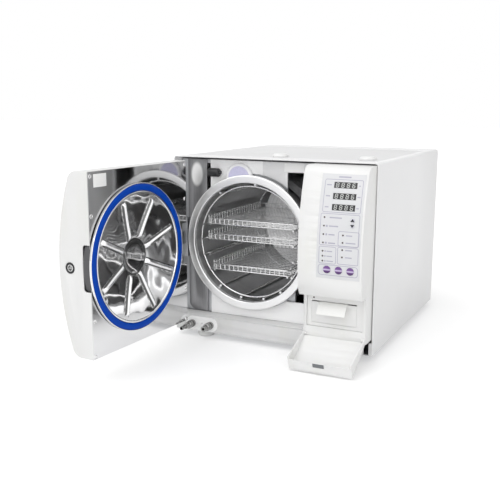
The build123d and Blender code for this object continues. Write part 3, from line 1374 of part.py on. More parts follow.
def drain_valves():
    """Two push-fit drain couplings; the left one carries its hose nozzle."""
    pieces = []
    y0 = FRONT_Y - DRAIN_PLATE_WALL
    neck_y = y0 - DRAIN_BODY_LENGTH
    tip = neck_y - DRAIN_NECK_LENGTH
    shank_end = FRONT_Y + DRAIN_SHANK_LENGTH
    for x in DRAIN_X:
        valve = rod_y(neck_y, y0, x, DRAIN_Z, DRAIN_BODY_RADIUS)
        valve = valve + rod_y(tip, neck_y, x, DRAIN_Z, DRAIN_NECK_RADIUS)
        valve = valve + rod_y(y0, shank_end, x, DRAIN_Z, DRAIN_SHANK_RADIUS)
        pieces.append(valve)
    pieces[0] = pieces[0] + rod_y(tip - NOZZLE_LENGTH, tip, DRAIN_X[0], DRAIN_Z, NOZZLE_RADIUS)
    bore_tip = tip - NOZZLE_LENGTH - OVERRUN
    bores = [rod_y(bore_tip, shank_end + OVERRUN, x, DRAIN_Z, DRAIN_BORE) for x in DRAIN_X]
    return group([piece - bore for piece, bore in zip(pieces, bores)])


# Water and steam
def tank_shell(z0, z1):
    """A closed tank between two heights."""
    wall = TANK_WALL
    tank = block(TANK_LEFT_X, TANK_RIGHT_X, TANK_FRONT_Y, TANK_REAR_Y, z0, z1)
    return tank - block(
        TANK_LEFT_X + wall,
        TANK_RIGHT_X - wall,
        TANK_FRONT_Y + wall,
        TANK_REAR_Y - wall,
        z0 + wall,
        z1 - wall,
    )


def water_tanks():
    """Clean water above, with its filler neck, and used water below, on its own feet and rails."""
    neck_top = CASE_HEIGHT - LID_RECESS - CLOSE_GAP
    clean = tank_shell(CLEAN_TANK_BOTTOM_Z, CLEAN_TANK_TOP_Z)
    clean = clean + rod_z(CLEAN_TANK_TOP_Z, neck_top, FILLER_X, FILLER_Y, FILLER_RADIUS)
    bore = FILLER_RADIUS - TANK_WALL
    low = CLEAN_TANK_TOP_Z - TANK_WALL - OVERRUN
    clean = clean - rod_z(low, neck_top + OVERRUN, FILLER_X, FILLER_Y, bore)
    used = tank_shell(TRAY_FLANGE, USED_TANK_TOP_Z)
    for x in (TANK_LEFT_X, TANK_RIGHT_X - TANK_RAIL):
        used = used + block(x, x + TANK_RAIL, TANK_FRONT_Y, TANK_REAR_Y, USED_TANK_TOP_Z, CLEAN_TANK_BOTTOM_Z)
    for y in (TANK_FRONT_Y, TANK_REAR_Y - TANK_RAIL):
        used = used + block(TANK_LEFT_X, TANK_RIGHT_X, y, y + TANK_RAIL, PLATE_WALL, TRAY_FLANGE)
    return group([clean, used])


def steam_generator():
    """Small upright boiler on a round base, its steam outlet on top."""
    top = PLATE_WALL + GENERATOR_HEIGHT
    boiler = rod_z(PLATE_WALL, top, GENERATOR_X, GENERATOR_Y, GENERATOR_RADIUS)
    boiler = fillet(boiler.edges().filter_by(GeomType.CIRCLE).group_by(Axis.Z)[-1], GENERATOR_EDGE)
    base_top = PLATE_WALL + GENERATOR_BASE_WALL
    boiler = boiler + rod_z(PLATE_WALL, base_top, GENERATOR_X, GENERATOR_Y, GENERATOR_BASE_RADIUS)
    return boiler + rod_z(top - OVERRUN, top + OUTLET_LENGTH, GENERATOR_X, GENERATOR_Y, OUTLET_RADIUS)


def vacuum_pump():
    """Motor lying on a foot plate with a square pump head at its right end."""
    foot_top = PLATE_WALL + PUMP_BASE
    axis_z = foot_top + PUMP_RADIUS + PUMP_BASE
    x0 = PUMP_X - PUMP_LENGTH / 2
    x1 = PUMP_X + PUMP_LENGTH / 2
    x2 = x1 + PUMP_HEAD
    y0 = PUMP_Y - PUMP_RADIUS
    y1 = PUMP_Y + PUMP_RADIUS
    pump = rod_x(x0, x1, PUMP_Y, axis_z, PUMP_RADIUS)
    pump = pump + block(x1, x2, y0, y1, foot_top, axis_z + PUMP_RADIUS)
    pump = pump + block(x0, x2, y0, y1, PLATE_WALL, foot_top)
    half = PUMP_SADDLE_HALF
    return pump + block(x0 + PUMP_BASE, x1, PUMP_Y - half, PUMP_Y + half, foot_top - OVERRUN, axis_z)


# Fan at the rear
def fan_frame():
    """Square fan frame against the rear panel, with a three-bar spider, its hub and shaft."""
    y0 = FAN_REAR_Y - FAN_DEPTH
    half = FAN_SIZE / 2
    bore = FAN_BLADE_RADIUS + FAN_RUNNING_GAP
    frame = block(FAN_X - half, FAN_X + half, y0, FAN_REAR_Y, FAN_Z - half, FAN_Z + half)
    frame = frame - rod_y(y0 - OVERRUN, FAN_REAR_Y + OVERRUN, FAN_X, FAN_Z, bore)
    for number in range(FAN_SPIDER_COUNT):
        turn = number * 180 / FAN_SPIDER_COUNT
        bar = Box(2 * (bore + OVERRUN), FAN_SPIDER_WALL, FAN_SPIDER_WIDTH)
        frame = frame + Pos(FAN_X, y0 + FAN_SPIDER_WALL / 2, FAN_Z) * Rot(0, turn, 0) * bar
    frame = frame + rod_y(y0, y0 + FAN_SPIDER_WALL, FAN_X, FAN_Z, FAN_HUB_RADIUS)
    return frame + rod_y(y0, y0 + FAN_SHAFT_LENGTH, FAN_X, FAN_Z, FAN_SHAFT_RADIUS)


def fan_rotor():
    """Fan hub with its twisted blades, running on the frame's shaft."""
    y0 = FAN_REAR_Y - FAN_DEPTH + FAN_SPIDER_WALL + PANEL_GAP
    y1 = FAN_REAR_Y - 2 * PANEL_GAP
    rotor = rod_y(y0, y1, FAN_X, FAN_Z, FAN_HUB_RADIUS)
    reach = FAN_BLADE_RADIUS - FAN_HUB_RADIUS + FAN_BLADE_ROOT
    blade = Box(reach, FAN_BLADE_WALL, FAN_BLADE_CHORD)
    blade = Pos(FAN_BLADE_RADIUS - reach / 2, 0, 0) * Rot(FAN_BLADE_ANGLE, 0, 0) * blade
    for number in range(FAN_BLADE_COUNT):
        rotor = rotor + Pos(FAN_X, (y0 + y1) / 2, FAN_Z) * Rot(0, number * 360 / FAN_BLADE_COUNT, 0) * blade
    bore_end = FAN_REAR_Y - FAN_DEPTH + FAN_SHAFT_LENGTH + PANEL_GAP
    return rotor - rod_y(y0 - OVERRUN, bore_end, FAN_X, FAN_Z, FAN_SHAFT_RADIUS + RUNNING_GAP)


# Power entry at the rear
def mains_inlet():
    """One moulded module that holds the socket for the mains lead and the rocker."""
    z0 = MODULE_Z - MODULE_HEIGHT / 2
    z1 = MODULE_Z + MODULE_HEIGHT / 2
    x0 = MODULE_LEFT_X
    x1 = x0 + MODULE_WIDTH
    rim = MODULE_RIM
    face = REAR_Y + MODULE_FLANGE
    body = block(x0, x1, REAR_Y - MODULE_DEPTH, REAR_Y, z0, z1)
    body = body + block(x0 - rim, x1 + rim, REAR_Y, face, z0 - rim, z1 + rim)
    middle = x1 - INLET_INSET - INLET_WIDTH / 2
    floor = face - INLET_RECESS
    left = middle - INLET_WIDTH / 2
    low = MODULE_Z - INLET_HEIGHT / 2
    body = body - block(left, left + INLET_WIDTH, floor, face + OVERRUN, low, low + INLET_HEIGHT)
    for step, rise in ((-1, -1), (0, 1), (1, -1)):
        x = middle + step * INLET_PIN_SPACING
        z = MODULE_Z + rise * INLET_PIN_HALF_HEIGHT
        across = INLET_PIN_HALF_WIDTH
        up = INLET_PIN_HALF_HEIGHT
        body = body + block(x - across, x + across, floor, REAR_Y - rim, z - up, z + up)
    half = ROCKER_WIDTH / 2 + CLOSE_GAP
    high = ROCKER_HEIGHT / 2 + ROCKER_END_GAP
    well_floor = ROCKER_Y - ROCKER_WELL_DEPTH
    x0 = ROCKER_X - half
    x1 = ROCKER_X + half
    body = body - block(x0, x1, well_floor, face + OVERRUN, MODULE_Z - high, MODULE_Z + high)
    pin_room = ROCKER_PIN_RADIUS + RUNNING_GAP
    return body - rod_x(x0 - ROCKER_PIN_LENGTH, x1 + ROCKER_PIN_LENGTH, ROCKER_Y, MODULE_Z, pin_room)


def mains_rocker():
    """Rocker in its off position, turning on two short pins."""
    across = ROCKER_WIDTH / 2
    up = ROCKER_HEIGHT / 2
    x0 = ROCKER_X - across
    x1 = ROCKER_X + across
    cap = block(x0, x1, ROCKER_Y - ROCKER_FALL, ROCKER_Y + ROCKER_RISE, MODULE_Z - up, MODULE_Z + up)
    cap = cap.rotate(Axis((0, ROCKER_Y, MODULE_Z), (1, 0, 0)), ROCKER_SWING / 2)
    reach = across + ROCKER_PIN_LENGTH
    return cap + rod_x(ROCKER_X - reach, ROCKER_X + reach, ROCKER_Y, MODULE_Z, ROCKER_PIN_RADIUS)


if __name__ == "__main__":
    save("base_tray", base_tray())
    save("feet", feet())
    save("outer_cover", outer_cover())
    save("top_lid", top_lid())
    save("lid_grips", lid_grips())
    save("rear_panel", rear_panel())
    save("base_skirt", base_skirt())
    save("drip_ledge", drip_ledge())
    save("front_frame", front_frame())
    save("fascia", fascia())
    save("hinge_post", hinge_post())
    save("hinge_block", hinge_block())
    save("chamber_vessel", chamber_vessel())
    save("chamber_flange", chamber_flange())
    save("heater_band", heater_band())
    save("insulation_jacket", insulation_jacket())
    save("chamber_cradles", chamber_cradles())
    save("door_shell", swing_door(door_shell()))
    save("door_panel", swing_door(door_panel()))
    save("door_plate", swing_door(door_plate()))
    save("door_seal", swing_door(door_seal()))
    save("crossbar", swing_door(crossbar()))
    save("hinge_pin", hinge_pin())
    save("lock_cup", swing_door(lock_cup()))
    save("panel_screws", swing_door(panel_screws()))
    save("lock_bolt", lock_bolt())
    save("lock_motor", lock_motor())
    save("column_housing", column_housing())
    save("keypad_film", keypad_film())
    save("led_displays", led_displays())
    save("indicator_leds", indicator_leds())
    for name, place in zip(("key_left", "key_middle", "key_right"), key_places()):
        save(name, round_key(*place, KEY_RADIUS))
    save("key_up", round_key(ARROW_X, ARROW_UPPER_Z, ARROW_RADIUS))
    save("key_down", round_key(ARROW_X, ARROW_LOWER_Z, ARROW_RADIUS))
    save("key_board", key_board())
    save("printer_body", printer_body())
    save("printer_lid", printer_lid())
    save("platen_roller", platen_roller())
    save("paper_roll", paper_roll())
    save("paper_strip", paper_strip())
    save("printer_flap", swing_flap(printer_flap()))
    save("flap_pins", flap_pins())
    save("flap_catch", swing_flap(flap_catch()))
    save("tray_rack", tray_rack())
    save("tray_upper", tray(0))
    save("tray_middle", tray(1))
    save("tray_lower", tray(3))
    save("air_filter", air_filter())
    save("door_switch", door_switch())
    save("drain_plate", drain_plate())
    save("drain_valves", drain_valves())
    save("water_tanks", water_tanks())
    save("steam_generator", steam_generator())
    save("vacuum_pump", vacuum_pump())
    save("fan_frame", fan_frame())
    save("fan_rotor", fan_rotor())
    save("mains_inlet", mains_inlet())
    save("mains_rocker", mains_rocker())
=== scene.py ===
"""Dresses a table-top steam steriliser: its meshes, finishes, light and camera.

Lengths are metres in the frame's axes: X across, -Y towards the front, Z up.
"""

from __future__ import annotations

import json
import logging
import math
from dataclasses import dataclass, field
from enum import Enum
from typing import Any, Iterable, Sequence

import bmesh
import bpy
from mathutils import Matrix, Vector

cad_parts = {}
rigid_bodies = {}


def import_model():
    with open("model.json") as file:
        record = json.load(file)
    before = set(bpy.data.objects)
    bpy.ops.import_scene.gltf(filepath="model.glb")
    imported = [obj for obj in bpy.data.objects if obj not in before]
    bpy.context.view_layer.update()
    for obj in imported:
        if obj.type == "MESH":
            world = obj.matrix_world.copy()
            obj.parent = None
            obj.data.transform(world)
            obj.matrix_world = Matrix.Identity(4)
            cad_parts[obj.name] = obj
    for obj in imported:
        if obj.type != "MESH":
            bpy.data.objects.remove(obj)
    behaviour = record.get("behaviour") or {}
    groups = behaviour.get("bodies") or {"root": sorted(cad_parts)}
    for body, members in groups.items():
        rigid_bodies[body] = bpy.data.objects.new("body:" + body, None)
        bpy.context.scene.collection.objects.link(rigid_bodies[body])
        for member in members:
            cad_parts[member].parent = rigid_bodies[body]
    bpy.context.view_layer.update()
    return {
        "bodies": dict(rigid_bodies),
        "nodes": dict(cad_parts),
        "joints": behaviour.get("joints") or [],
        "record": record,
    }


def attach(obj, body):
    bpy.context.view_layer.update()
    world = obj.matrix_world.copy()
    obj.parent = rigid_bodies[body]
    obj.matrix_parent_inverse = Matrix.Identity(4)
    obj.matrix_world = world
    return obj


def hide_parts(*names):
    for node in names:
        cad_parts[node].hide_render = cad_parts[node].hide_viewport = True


LOG = logging.getLogger("steriliser")
MM = 0.001
WELD = 2e-6
SAME_PLANE = math.radians(0.05)
Triple = tuple[float, float, float]
Pair = tuple[float, float]
Profile = tuple[Pair, ...]
Chain = tuple[Sequence[Triple], bool]


class Signal:
    """One output socket of a node tree; arithmetic on it adds Math nodes."""

    def __init__(self, graph: Graph, socket: bpy.types.NodeSocket) -> None:
        """Keeps the tree and the socket."""
        self.graph = graph
        self.socket = socket

    def output(self, key: int | str) -> Signal:
        """Another output of the same node."""
        return Signal(self.graph, self.socket.node.outputs[key])

    def maths(self, operation: str, *others: Any) -> Signal:
        """This value and others through one Math node."""
        operands = dict(enumerate((self, *others)))
        return self.graph.node("ShaderNodeMath", {"operation": operation}, operands)

    def __add__(self, other: Any) -> Signal:
        """Sum."""
        return self.maths("ADD", other)

    def __radd__(self, other: Any) -> Signal:
        """Sum, reflected."""
        return self.maths("ADD", other)

    def __sub__(self, other: Any) -> Signal:
        """Difference."""
        return self.maths("SUBTRACT", other)

    def __rsub__(self, other: Any) -> Signal:
        """Difference, reflected."""
        return (self * -1.0) + other

    def __mul__(self, other: Any) -> Signal:
        """Product."""
        return self.maths("MULTIPLY", other)

    def __rmul__(self, other: Any) -> Signal:
        """Product, reflected."""
        return self.maths("MULTIPLY", other)

    def __truediv__(self, other: Any) -> Signal:
        """Quotient."""
        return self.maths("DIVIDE", other)

    def __abs__(self) -> Signal:
        """Size without sign."""
        return self.maths("ABSOLUTE")

    def least(self, other: Any) -> Signal:
        """The smaller of two."""
        return self.maths("MINIMUM", other)

    def most(self, other: Any) -> Signal:
        """The larger of two."""
        return self.maths("MAXIMUM", other)

    def below(self, edge: Any) -> Signal:
        """1 where this is under the edge, else 0."""
        return self.maths("LESS_THAN", edge)

    def above(self, edge: Any) -> Signal:
        """1 where this is over the edge, else 0."""
        return self.maths("GREATER_THAN", edge)

    def smooth(self, low: float, high: float, to_low: float = 0.0, to_high: float = 1.0) -> Signal:
        """A soft step from one value to another between two edges."""
        sockets = {0: self, 1: low, 2: high, 3: to_low, 4: to_high}
        return self.graph.node("ShaderNodeMapRange", {"interpolation_type": "SMOOTHSTEP"}, sockets)

    def within(self, start: float, full: float, fading: float, end: float) -> Signal:
        """1 between two soft edges, else 0: it rises from start to full and falls from fading to end."""
        return self.smooth(start, full) * self.smooth(fading, end, 1.0, 0.0)


class Graph:
    """A node tree in the making; every node comes from one method."""

    def __init__(self, tree: bpy.types.NodeTree) -> None:
        """Keeps the tree."""
        self.tree = tree

    def node(
        self,
        kind: str,
        settings: dict[str, Any] | None = None,
        sockets: dict[int | str, Any] | None = None,
        result: int | str = 0,
    ) -> Signal:
        """One node, set up and linked.

        Args:
            kind: The node's type.
            settings: Its settings by name.
            sockets: Values or links of its inputs, by number or name.
            result: Which output to hand back.

        Returns:
            That output.
        """
        made = self.tree.nodes.new(kind)
        for name, value in (settings or {}).items():
            setattr(made, name, value)
        for key, value in (sockets or {}).items():
            if isinstance(value, Signal):
                self.tree.links.new(value.socket, made.inputs[key])
            else:
                made.inputs[key].default_value = value
        return Signal(self, made.outputs[result]) if made.outputs else Signal(self, made.inputs[0])

    def parts(self, vector: Signal) -> tuple[Signal, Signal, Signal]:
        """The three numbers of a vector."""
        split = self.node("ShaderNodeSeparateXYZ", {}, {0: vector})
        return split, split.output(1), split.output(2)

    def vector(self, x: Any, y: Any, z: Any) -> Signal:
        """A vector from three numbers."""
        return self.node("ShaderNodeCombineXYZ", {}, {0: x, 1: y, 2: z})


class ShaderGraph(Graph):
    """A material's tree, with the few patterns that the finishes share."""

    def __init__(self, name: str) -> None:
        """Starts an empty material.

        Args:
            name: The material's name.
        """
        self.material = bpy.data.materials.new(name)
        self.material.use_nodes = True
        super().__init__(self.material.node_tree)
        self.tree.nodes.clear()

    def point(self, stretch: Triple = (1.0, 1.0, 1.0), centre: Triple = (0.0, 0.0, 0.0)) -> Signal:
        """The surface's place in the object, moved to a centre and stretched.

        Args:
            stretch: Factor along each axis.
            centre: What becomes zero.

        Returns:
            The vector.
        """
        here = self.node("ShaderNodeTexCoord", {}, {}, "Object")
        place = tuple(-part * factor for part, factor in zip(centre, stretch))
        return self.node("ShaderNodeMapping", {}, {0: here, 1: place, 3: stretch})

    def noise(self, vector: Signal, scale: float, detail: float = 2.0) -> Signal:
        """Soft noise from 0 to 1 over a vector."""
        return self.node("ShaderNodeTexNoise", {}, {"Vector": vector, "Scale": scale, "Detail": detail})

    def mixed(self, factor: Any, first: Any, second: Any) -> Signal:
        """Two colours mixed, all the first at a factor of 0 and all the second at 1."""
        sockets = {0: factor, 6: opaque(first), 7: opaque(second)}
        return self.node("ShaderNodeMix", {"data_type": "RGBA"}, sockets, 2)

    def bump(self, height: Signal, depth: float) -> Signal:
        """A normal from a height of 0 to 1, where 1 stands for a depth in metres."""
        sockets = {"Height": height, "Distance": depth, "Strength": 1.0}
        return self.node("ShaderNodeBump", {}, sockets)

    def surface(self, sockets: dict[str, Any]) -> bpy.types.Material:
        """Ends the tree in a Principled surface.

        Args:
            sockets: Its inputs by name.

        Returns:
            The material.
        """
        values = {**sockets, "Base Color": opaque(sockets["Base Color"])}
        shader = self.node("ShaderNodeBsdfPrincipled", {}, values)
        self.node("ShaderNodeOutputMaterial", {}, {0: shader})
        return self.material


def opaque(colour: Any) -> Any:
    """A colour with its fourth number, or a link as it is."""
    return colour if isinstance(colour, Signal) else (*colour, 1.0)


def dimmed(colour: Triple, share: float) -> Triple:
    """A colour at a share of its strength."""
    return tuple(part * share for part in colour)


class Grain(Enum):
    """Which way a brushed surface was brushed, as stretch factors."""

    ACROSS = (18.0, 900.0, 900.0)
    UPRIGHT = (900.0, 900.0, 14.0)
    ALONG = (900.0, 14.0, 900.0)
    ROUND_Y = (16.0, 1500.0, 16.0)


@dataclass(frozen=True)
class Finish:
    """What every finish has: a name, a colour and a gloss."""

    name: str
    colour: Triple
    roughness: float = 0.4

    def build(self) -> bpy.types.Material:
        """The material."""
        raise NotImplementedError

    def marked(self, graph: ShaderGraph, colour: Signal) -> Signal:
        """The colour under this finish's own marks, of which a plain one has none."""
        return colour


@dataclass(frozen=True)
class Moulding(Finish):
    """Moulded plastic: a very fine spark-eroded grain and a slight unevenness of gloss."""

    grain: float = 0.00002
    grain_scale: float = 1400.0
    mottle: float = 0.02
    coat: float = 0.0
    dust: float = 0.03

    def build(self) -> bpy.types.Material:
        """Builds the material.

        Returns:
            The material.
        """
        graph = ShaderGraph(self.name)
        point = graph.point()
        cloud = graph.noise(point, 9.0, 3.0)
        fine = graph.noise(point, self.grain_scale, 1.0)
        flow = graph.noise(graph.point((30.0, 30.0, 6.0)), 1.0, 2.0)
        wear = (1.0 - self.dust, 1.0 - self.dust, 0.995 - 1.6 * self.dust)
        aged = tuple(part * share for part, share in zip(self.colour, wear))
        mottled = dimmed(self.colour, 1.0 - self.mottle)
        colour = graph.mixed(cloud.smooth(0.35, 0.75), self.colour, mottled)
        colour = self.marked(graph, graph.mixed(flow.smooth(0.45, 0.8), colour, aged))
        rough = cloud * 0.10 + fine * 0.05 + (self.roughness - 0.07)
        return graph.surface(
            {
                "Base Color": colour,
                "Roughness": rough,
                "Normal": graph.bump(fine, self.grain),
                "Coat Weight": self.coat,
                "Coat Roughness": 0.12,
                "IOR": 1.47,
            }
        )


@dataclass(frozen=True)
class PaintedShadeMoulding(Moulding):
    """Moulding with painted shade: greyer past a line across it, above a height."""

    shade_colour: Triple = (0.76, 0.76, 0.765)
    shade_x: float = -0.027
    shade_z: float = 0.2

    def marked(self, graph: ShaderGraph, colour: Signal) -> Signal:
        """The colour with painted shade on its greyer side.

        Args:
            graph: The material's tree.
            colour: The plain colour.

        Returns:
            The marked colour.
        """
        x, _, z = graph.parts(graph.point())
        # Painted shade: past the line and above the height the colour turns greyer.
        shaded_side = x.above(self.shade_x) * z.above(self.shade_z)
        return graph.mixed(shaded_side, colour, self.shade_colour)


@dataclass(frozen=True)
class Enamel(Finish):
    """Baked powder coat: a low orange peel under an even satin gloss."""

    peel: float = 0.00006
    peel_scale: float = 420.0

    def build(self) -> bpy.types.Material:
        """Builds the material.

        Returns:
            The material.
        """
        graph = ShaderGraph(self.name)
        point = graph.point()
        peel = graph.noise(point, self.peel_scale, 1.5)
        speck = graph.noise(point, 2600.0, 0.0)
        cloud = graph.noise(point, 5.0, 4.0)
        colour = graph.mixed(cloud.smooth(0.35, 0.7), self.colour, dimmed(self.colour, 0.97))
        colour = graph.mixed(speck.smooth(0.66, 0.72) * 0.25, colour, dimmed(self.colour, 0.82))
        return graph.surface(
            {
                "Base Color": colour,
                "Roughness": peel * 0.12 + cloud * 0.06 + (self.roughness - 0.09),
                "Normal": graph.bump(peel, self.peel),
                "Coat Weight": 0.25,
                "Coat Roughness": 0.25,
            }
        )


@dataclass(frozen=True)
class Brushed(Finish):
    """Brushed steel: streaks one way, in colour, gloss and surface."""

    grain: Grain = Grain.ACROSS
    depth: float = 0.00003
    streak: float = 0.22
    stain: float = 0.12

    def build(self) -> bpy.types.Material:
        """Builds the material.

        Returns:
            The material.
        """
        graph = ShaderGraph(self.name)
        lines = graph.noise(graph.point(self.grain.value), 1.0, 3.0)
        coarse = graph.noise(graph.point(dimmed(self.grain.value, 0.2)), 1.0, 2.0)
        cloud = graph.noise(graph.point(), 12.0, 3.0)
        valleys = dimmed(self.colour, 1.0 - self.streak)
        colour = graph.mixed(lines.smooth(0.3, 0.7), valleys, self.colour)
        colour = graph.mixed(cloud.smooth(0.5, 0.8) * self.stain, colour, dimmed(self.colour, 0.6))
        colour = self.marked(graph, colour)
        rough = lines * 0.22 + coarse * 0.1 + cloud * 0.06 + (self.roughness - 0.19)
        return graph.surface(
            {
                "Base Color": colour,
                "Metallic": 1.0,
                "Roughness": rough,
                "Normal": graph.bump(lines, self.depth),
            }
        )


@dataclass(frozen=True)
class ReflectionSpotSteel(Brushed):
    """Brushed steel with one soft pale oval painted on it as a reflection."""

    reflection_colour: Triple = (0.93, 0.93, 0.93)
    reflection_middle: Triple = (-0.181, 0.0, 0.338)
    reflection_size: Pair = (0.015, 0.027)

    def marked(self, graph: ShaderGraph, colour: Signal) -> Signal:
        """The colour with its painted reflection oval.

        Args:
            graph: The material's tree.
            colour: The plain colour.

        Returns:
            The marked colour.
        """
        x, _, z = graph.parts(graph.point((1.0, 1.0, 1.0), self.reflection_middle))
        x, z = x / self.reflection_size[0], z / self.reflection_size[1]
        # Painted reflection: a soft pale oval mixed into the colour.
        reflection_spot = (x * x + z * z).smooth(0.45, 1.15, 0.85, 0.0)
        return graph.mixed(reflection_spot, colour, self.reflection_colour)


@dataclass(frozen=True)
class Polished(Finish):
    """Polished metal: slow waves from the press, faint wipe marks and hairlines."""

    wave: float = 0.0002
    wave_scale: float = 9.0
    smudge: float = 0.06
    hairline: float = 0.008

    def build(self) -> bpy.types.Material:
        """Builds the material.

        Returns:
            The material.
        """
        graph = ShaderGraph(self.name)
        point = graph.point()
        waves = graph.noise(point, self.wave_scale, 1.0)
        wipe = graph.noise(graph.point((14.0, 14.0, 60.0)), 1.0, 3.0)
        hair = graph.noise(graph.point((900.0, 900.0, 25.0)), 1.0, 1.0)
        rough = wipe.smooth(0.45, 0.75) * self.smudge + hair * self.hairline + self.roughness
        tone = graph.mixed(wipe.smooth(0.4, 0.8) * 0.25, self.colour, dimmed(self.colour, 0.9))
        tone = self.marked(graph, tone)
        return graph.surface(
            {
                "Base Color": tone,
                "Metallic": 1.0,
                "Roughness": rough,
                "Normal": graph.bump(waves, self.wave),
            }
        )


@dataclass(frozen=True)
class SheetMirror(Polished):
    """Mirror of the door's flat panel, with a painted pale reflection that brightens it towards its
    foot.
    """

    low_reflection_colour: Triple = (0.78, 0.78, 0.785)
    low_reflection_z: Pair = (0.06, 0.15)

    def marked(self, graph: ShaderGraph, colour: Signal) -> Signal:
        """The colour with the painted reflection at its foot."""
        # Painted reflection: paler towards the panel's foot.
        low = graph.parts(graph.point())[2].smooth(*self.low_reflection_z, 1.0, 0.0)
        return graph.mixed(low, colour, self.low_reflection_colour)


@dataclass(frozen=True)
class PressedMirror(Polished):
    """Mirror of the pressure plate, with painted dark reflections beside its ribs and in two rings round
    its hub.
    """

    centre: Pair = (-0.4568, 0.201)
    ribs: int = 8
    rib_reflection_band: tuple[float, ...] = (0.0040, 0.0048, 0.0064, 0.0074)
    rib_reflection_reach: tuple[float, ...] = (0.035, 0.037, 0.112, 0.117)
    hub_reflection_ring: tuple[float, ...] = (0.0315, 0.0325, 0.0345, 0.0355)
    hub_reflection_line: tuple[float, ...] = (0.0235, 0.0245, 0.0255, 0.0265)
    dark_reflection_colour: Triple = (0.02, 0.02, 0.02)

    def marked(self, graph: ShaderGraph, colour: Signal) -> Signal:
        """The colour with its painted dark reflections.

        Args:
            graph: The material's tree.
            colour: The plain colour.

        Returns:
            The marked colour.
        """
        _, y, z = graph.parts(graph.point())
        across, up = y - self.centre[0], z - self.centre[1]
        radius = (across * across + up * up).maths("SQRT")
        half_pitch = math.pi / self.ribs
        folded = up.maths("ARCTAN2", across).maths("PINGPONG", half_pitch)
        aside = radius * (half_pitch - folded)
        # Painted dark reflections: bands beside each rib and two rings round the hub.
        rib_reflections = aside.within(*self.rib_reflection_band) * radius.within(*self.rib_reflection_reach)
        step = radius.within(*self.hub_reflection_ring) * 0.6
        line = radius.within(*self.hub_reflection_line) * 0.4
        return graph.mixed(rib_reflections.most(step).most(line) * 0.9, colour, self.dark_reflection_colour)


@dataclass(frozen=True)
class Rubbery(Finish):
    """Rubber and silicone: a soft sheen, moulding specks and a bloom of fine dust."""

    bloom: Triple = (0.3, 0.3, 0.3)
    bloom_share: float = 0.15
    coat: float = 0.0
    shine: float = 0.5

    def build(self) -> bpy.types.Material:
        """Builds the material.

        Returns:
            The material.
        """
        graph = ShaderGraph(self.name)
        point = graph.point()
        cloud = graph.noise(point, 26.0, 4.0)
        speck = graph.noise(point, 900.0, 1.0)
        colour = graph.mixed(cloud.smooth(0.45, 0.85) * self.bloom_share, self.colour, self.bloom)
        return graph.surface(
            {
                "Base Color": colour,
                "Roughness": cloud * 0.12 + speck * 0.08 + (self.roughness - 0.1),
                "Normal": graph.bump(speck, 0.00002),
                "Coat Weight": self.coat,
                "Coat Roughness": 0.22,
                "Specular IOR Level": self.shine,
            }
        )


@dataclass(frozen=True)
class Fibrous(Finish):
    """Paper, felt and mineral wool: loose fibres in colour and surface."""

    fibre: float = 0.00005
    fibre_scale: float = 700.0
    spread: float = 0.06

    def build(self) -> bpy.types.Material:
        """Builds the material.

        Returns:
            The material.
        """
        graph = ShaderGraph(self.name)
        short, long = self.fibre_scale, self.fibre_scale * 0.2
        upright = graph.noise(graph.point((short, short, long)), 1.0, 3.0)
        level = graph.noise(graph.point((long, short, short)), 1.0, 3.0)
        web = upright * 0.5 + level * 0.5
        dark = dimmed(self.colour, 1.0 - 2.0 * self.spread)
        return graph.surface(
            {
                "Base Color": graph.mixed(web.smooth(0.35, 0.65), dark, self.colour),
                "Roughness": web * 0.1 + (self.roughness - 0.05),
                "Normal": graph.bump(web, self.fibre),
            }
        )


@dataclass(frozen=True)
class KeyCap(Finish):
    """Purple key: darker at its edge, with a pale band across its middle."""

    band: Triple = (0.62, 0.52, 0.74)
    middle_z: float = 0.183
    half_band: float = 0.0016

    def build(self) -> bpy.types.Material:
        """Builds the material.

        Returns:
            The material.
        """
        graph = ShaderGraph(self.name)
        height = graph.parts(graph.point())[2]
        fine = graph.noise(graph.point(), 1500.0, 1.0)
        stripe = abs(height - self.middle_z)
        stripe = stripe.smooth(self.half_band * 0.6, self.half_band * 1.3, 1.0, 0.0)
        shade = (height - self.middle_z).smooth(-0.006, 0.003)
        base = graph.mixed(shade, dimmed(self.colour, 0.55), self.colour)
        return graph.surface(
            {
                "Base Color": graph.mixed(stripe * 0.85, base, self.band),
                "Roughness": fine * 0.1 + self.roughness,
                "Normal": graph.bump(fine, 0.00001),
            }
        )


@dataclass(frozen=True)
class Frame:
    """One rounded line frame printed on the keypad, in millimetres."""

    left: float
    right: float
    low: float
    high: float
    corner: float = 3.0


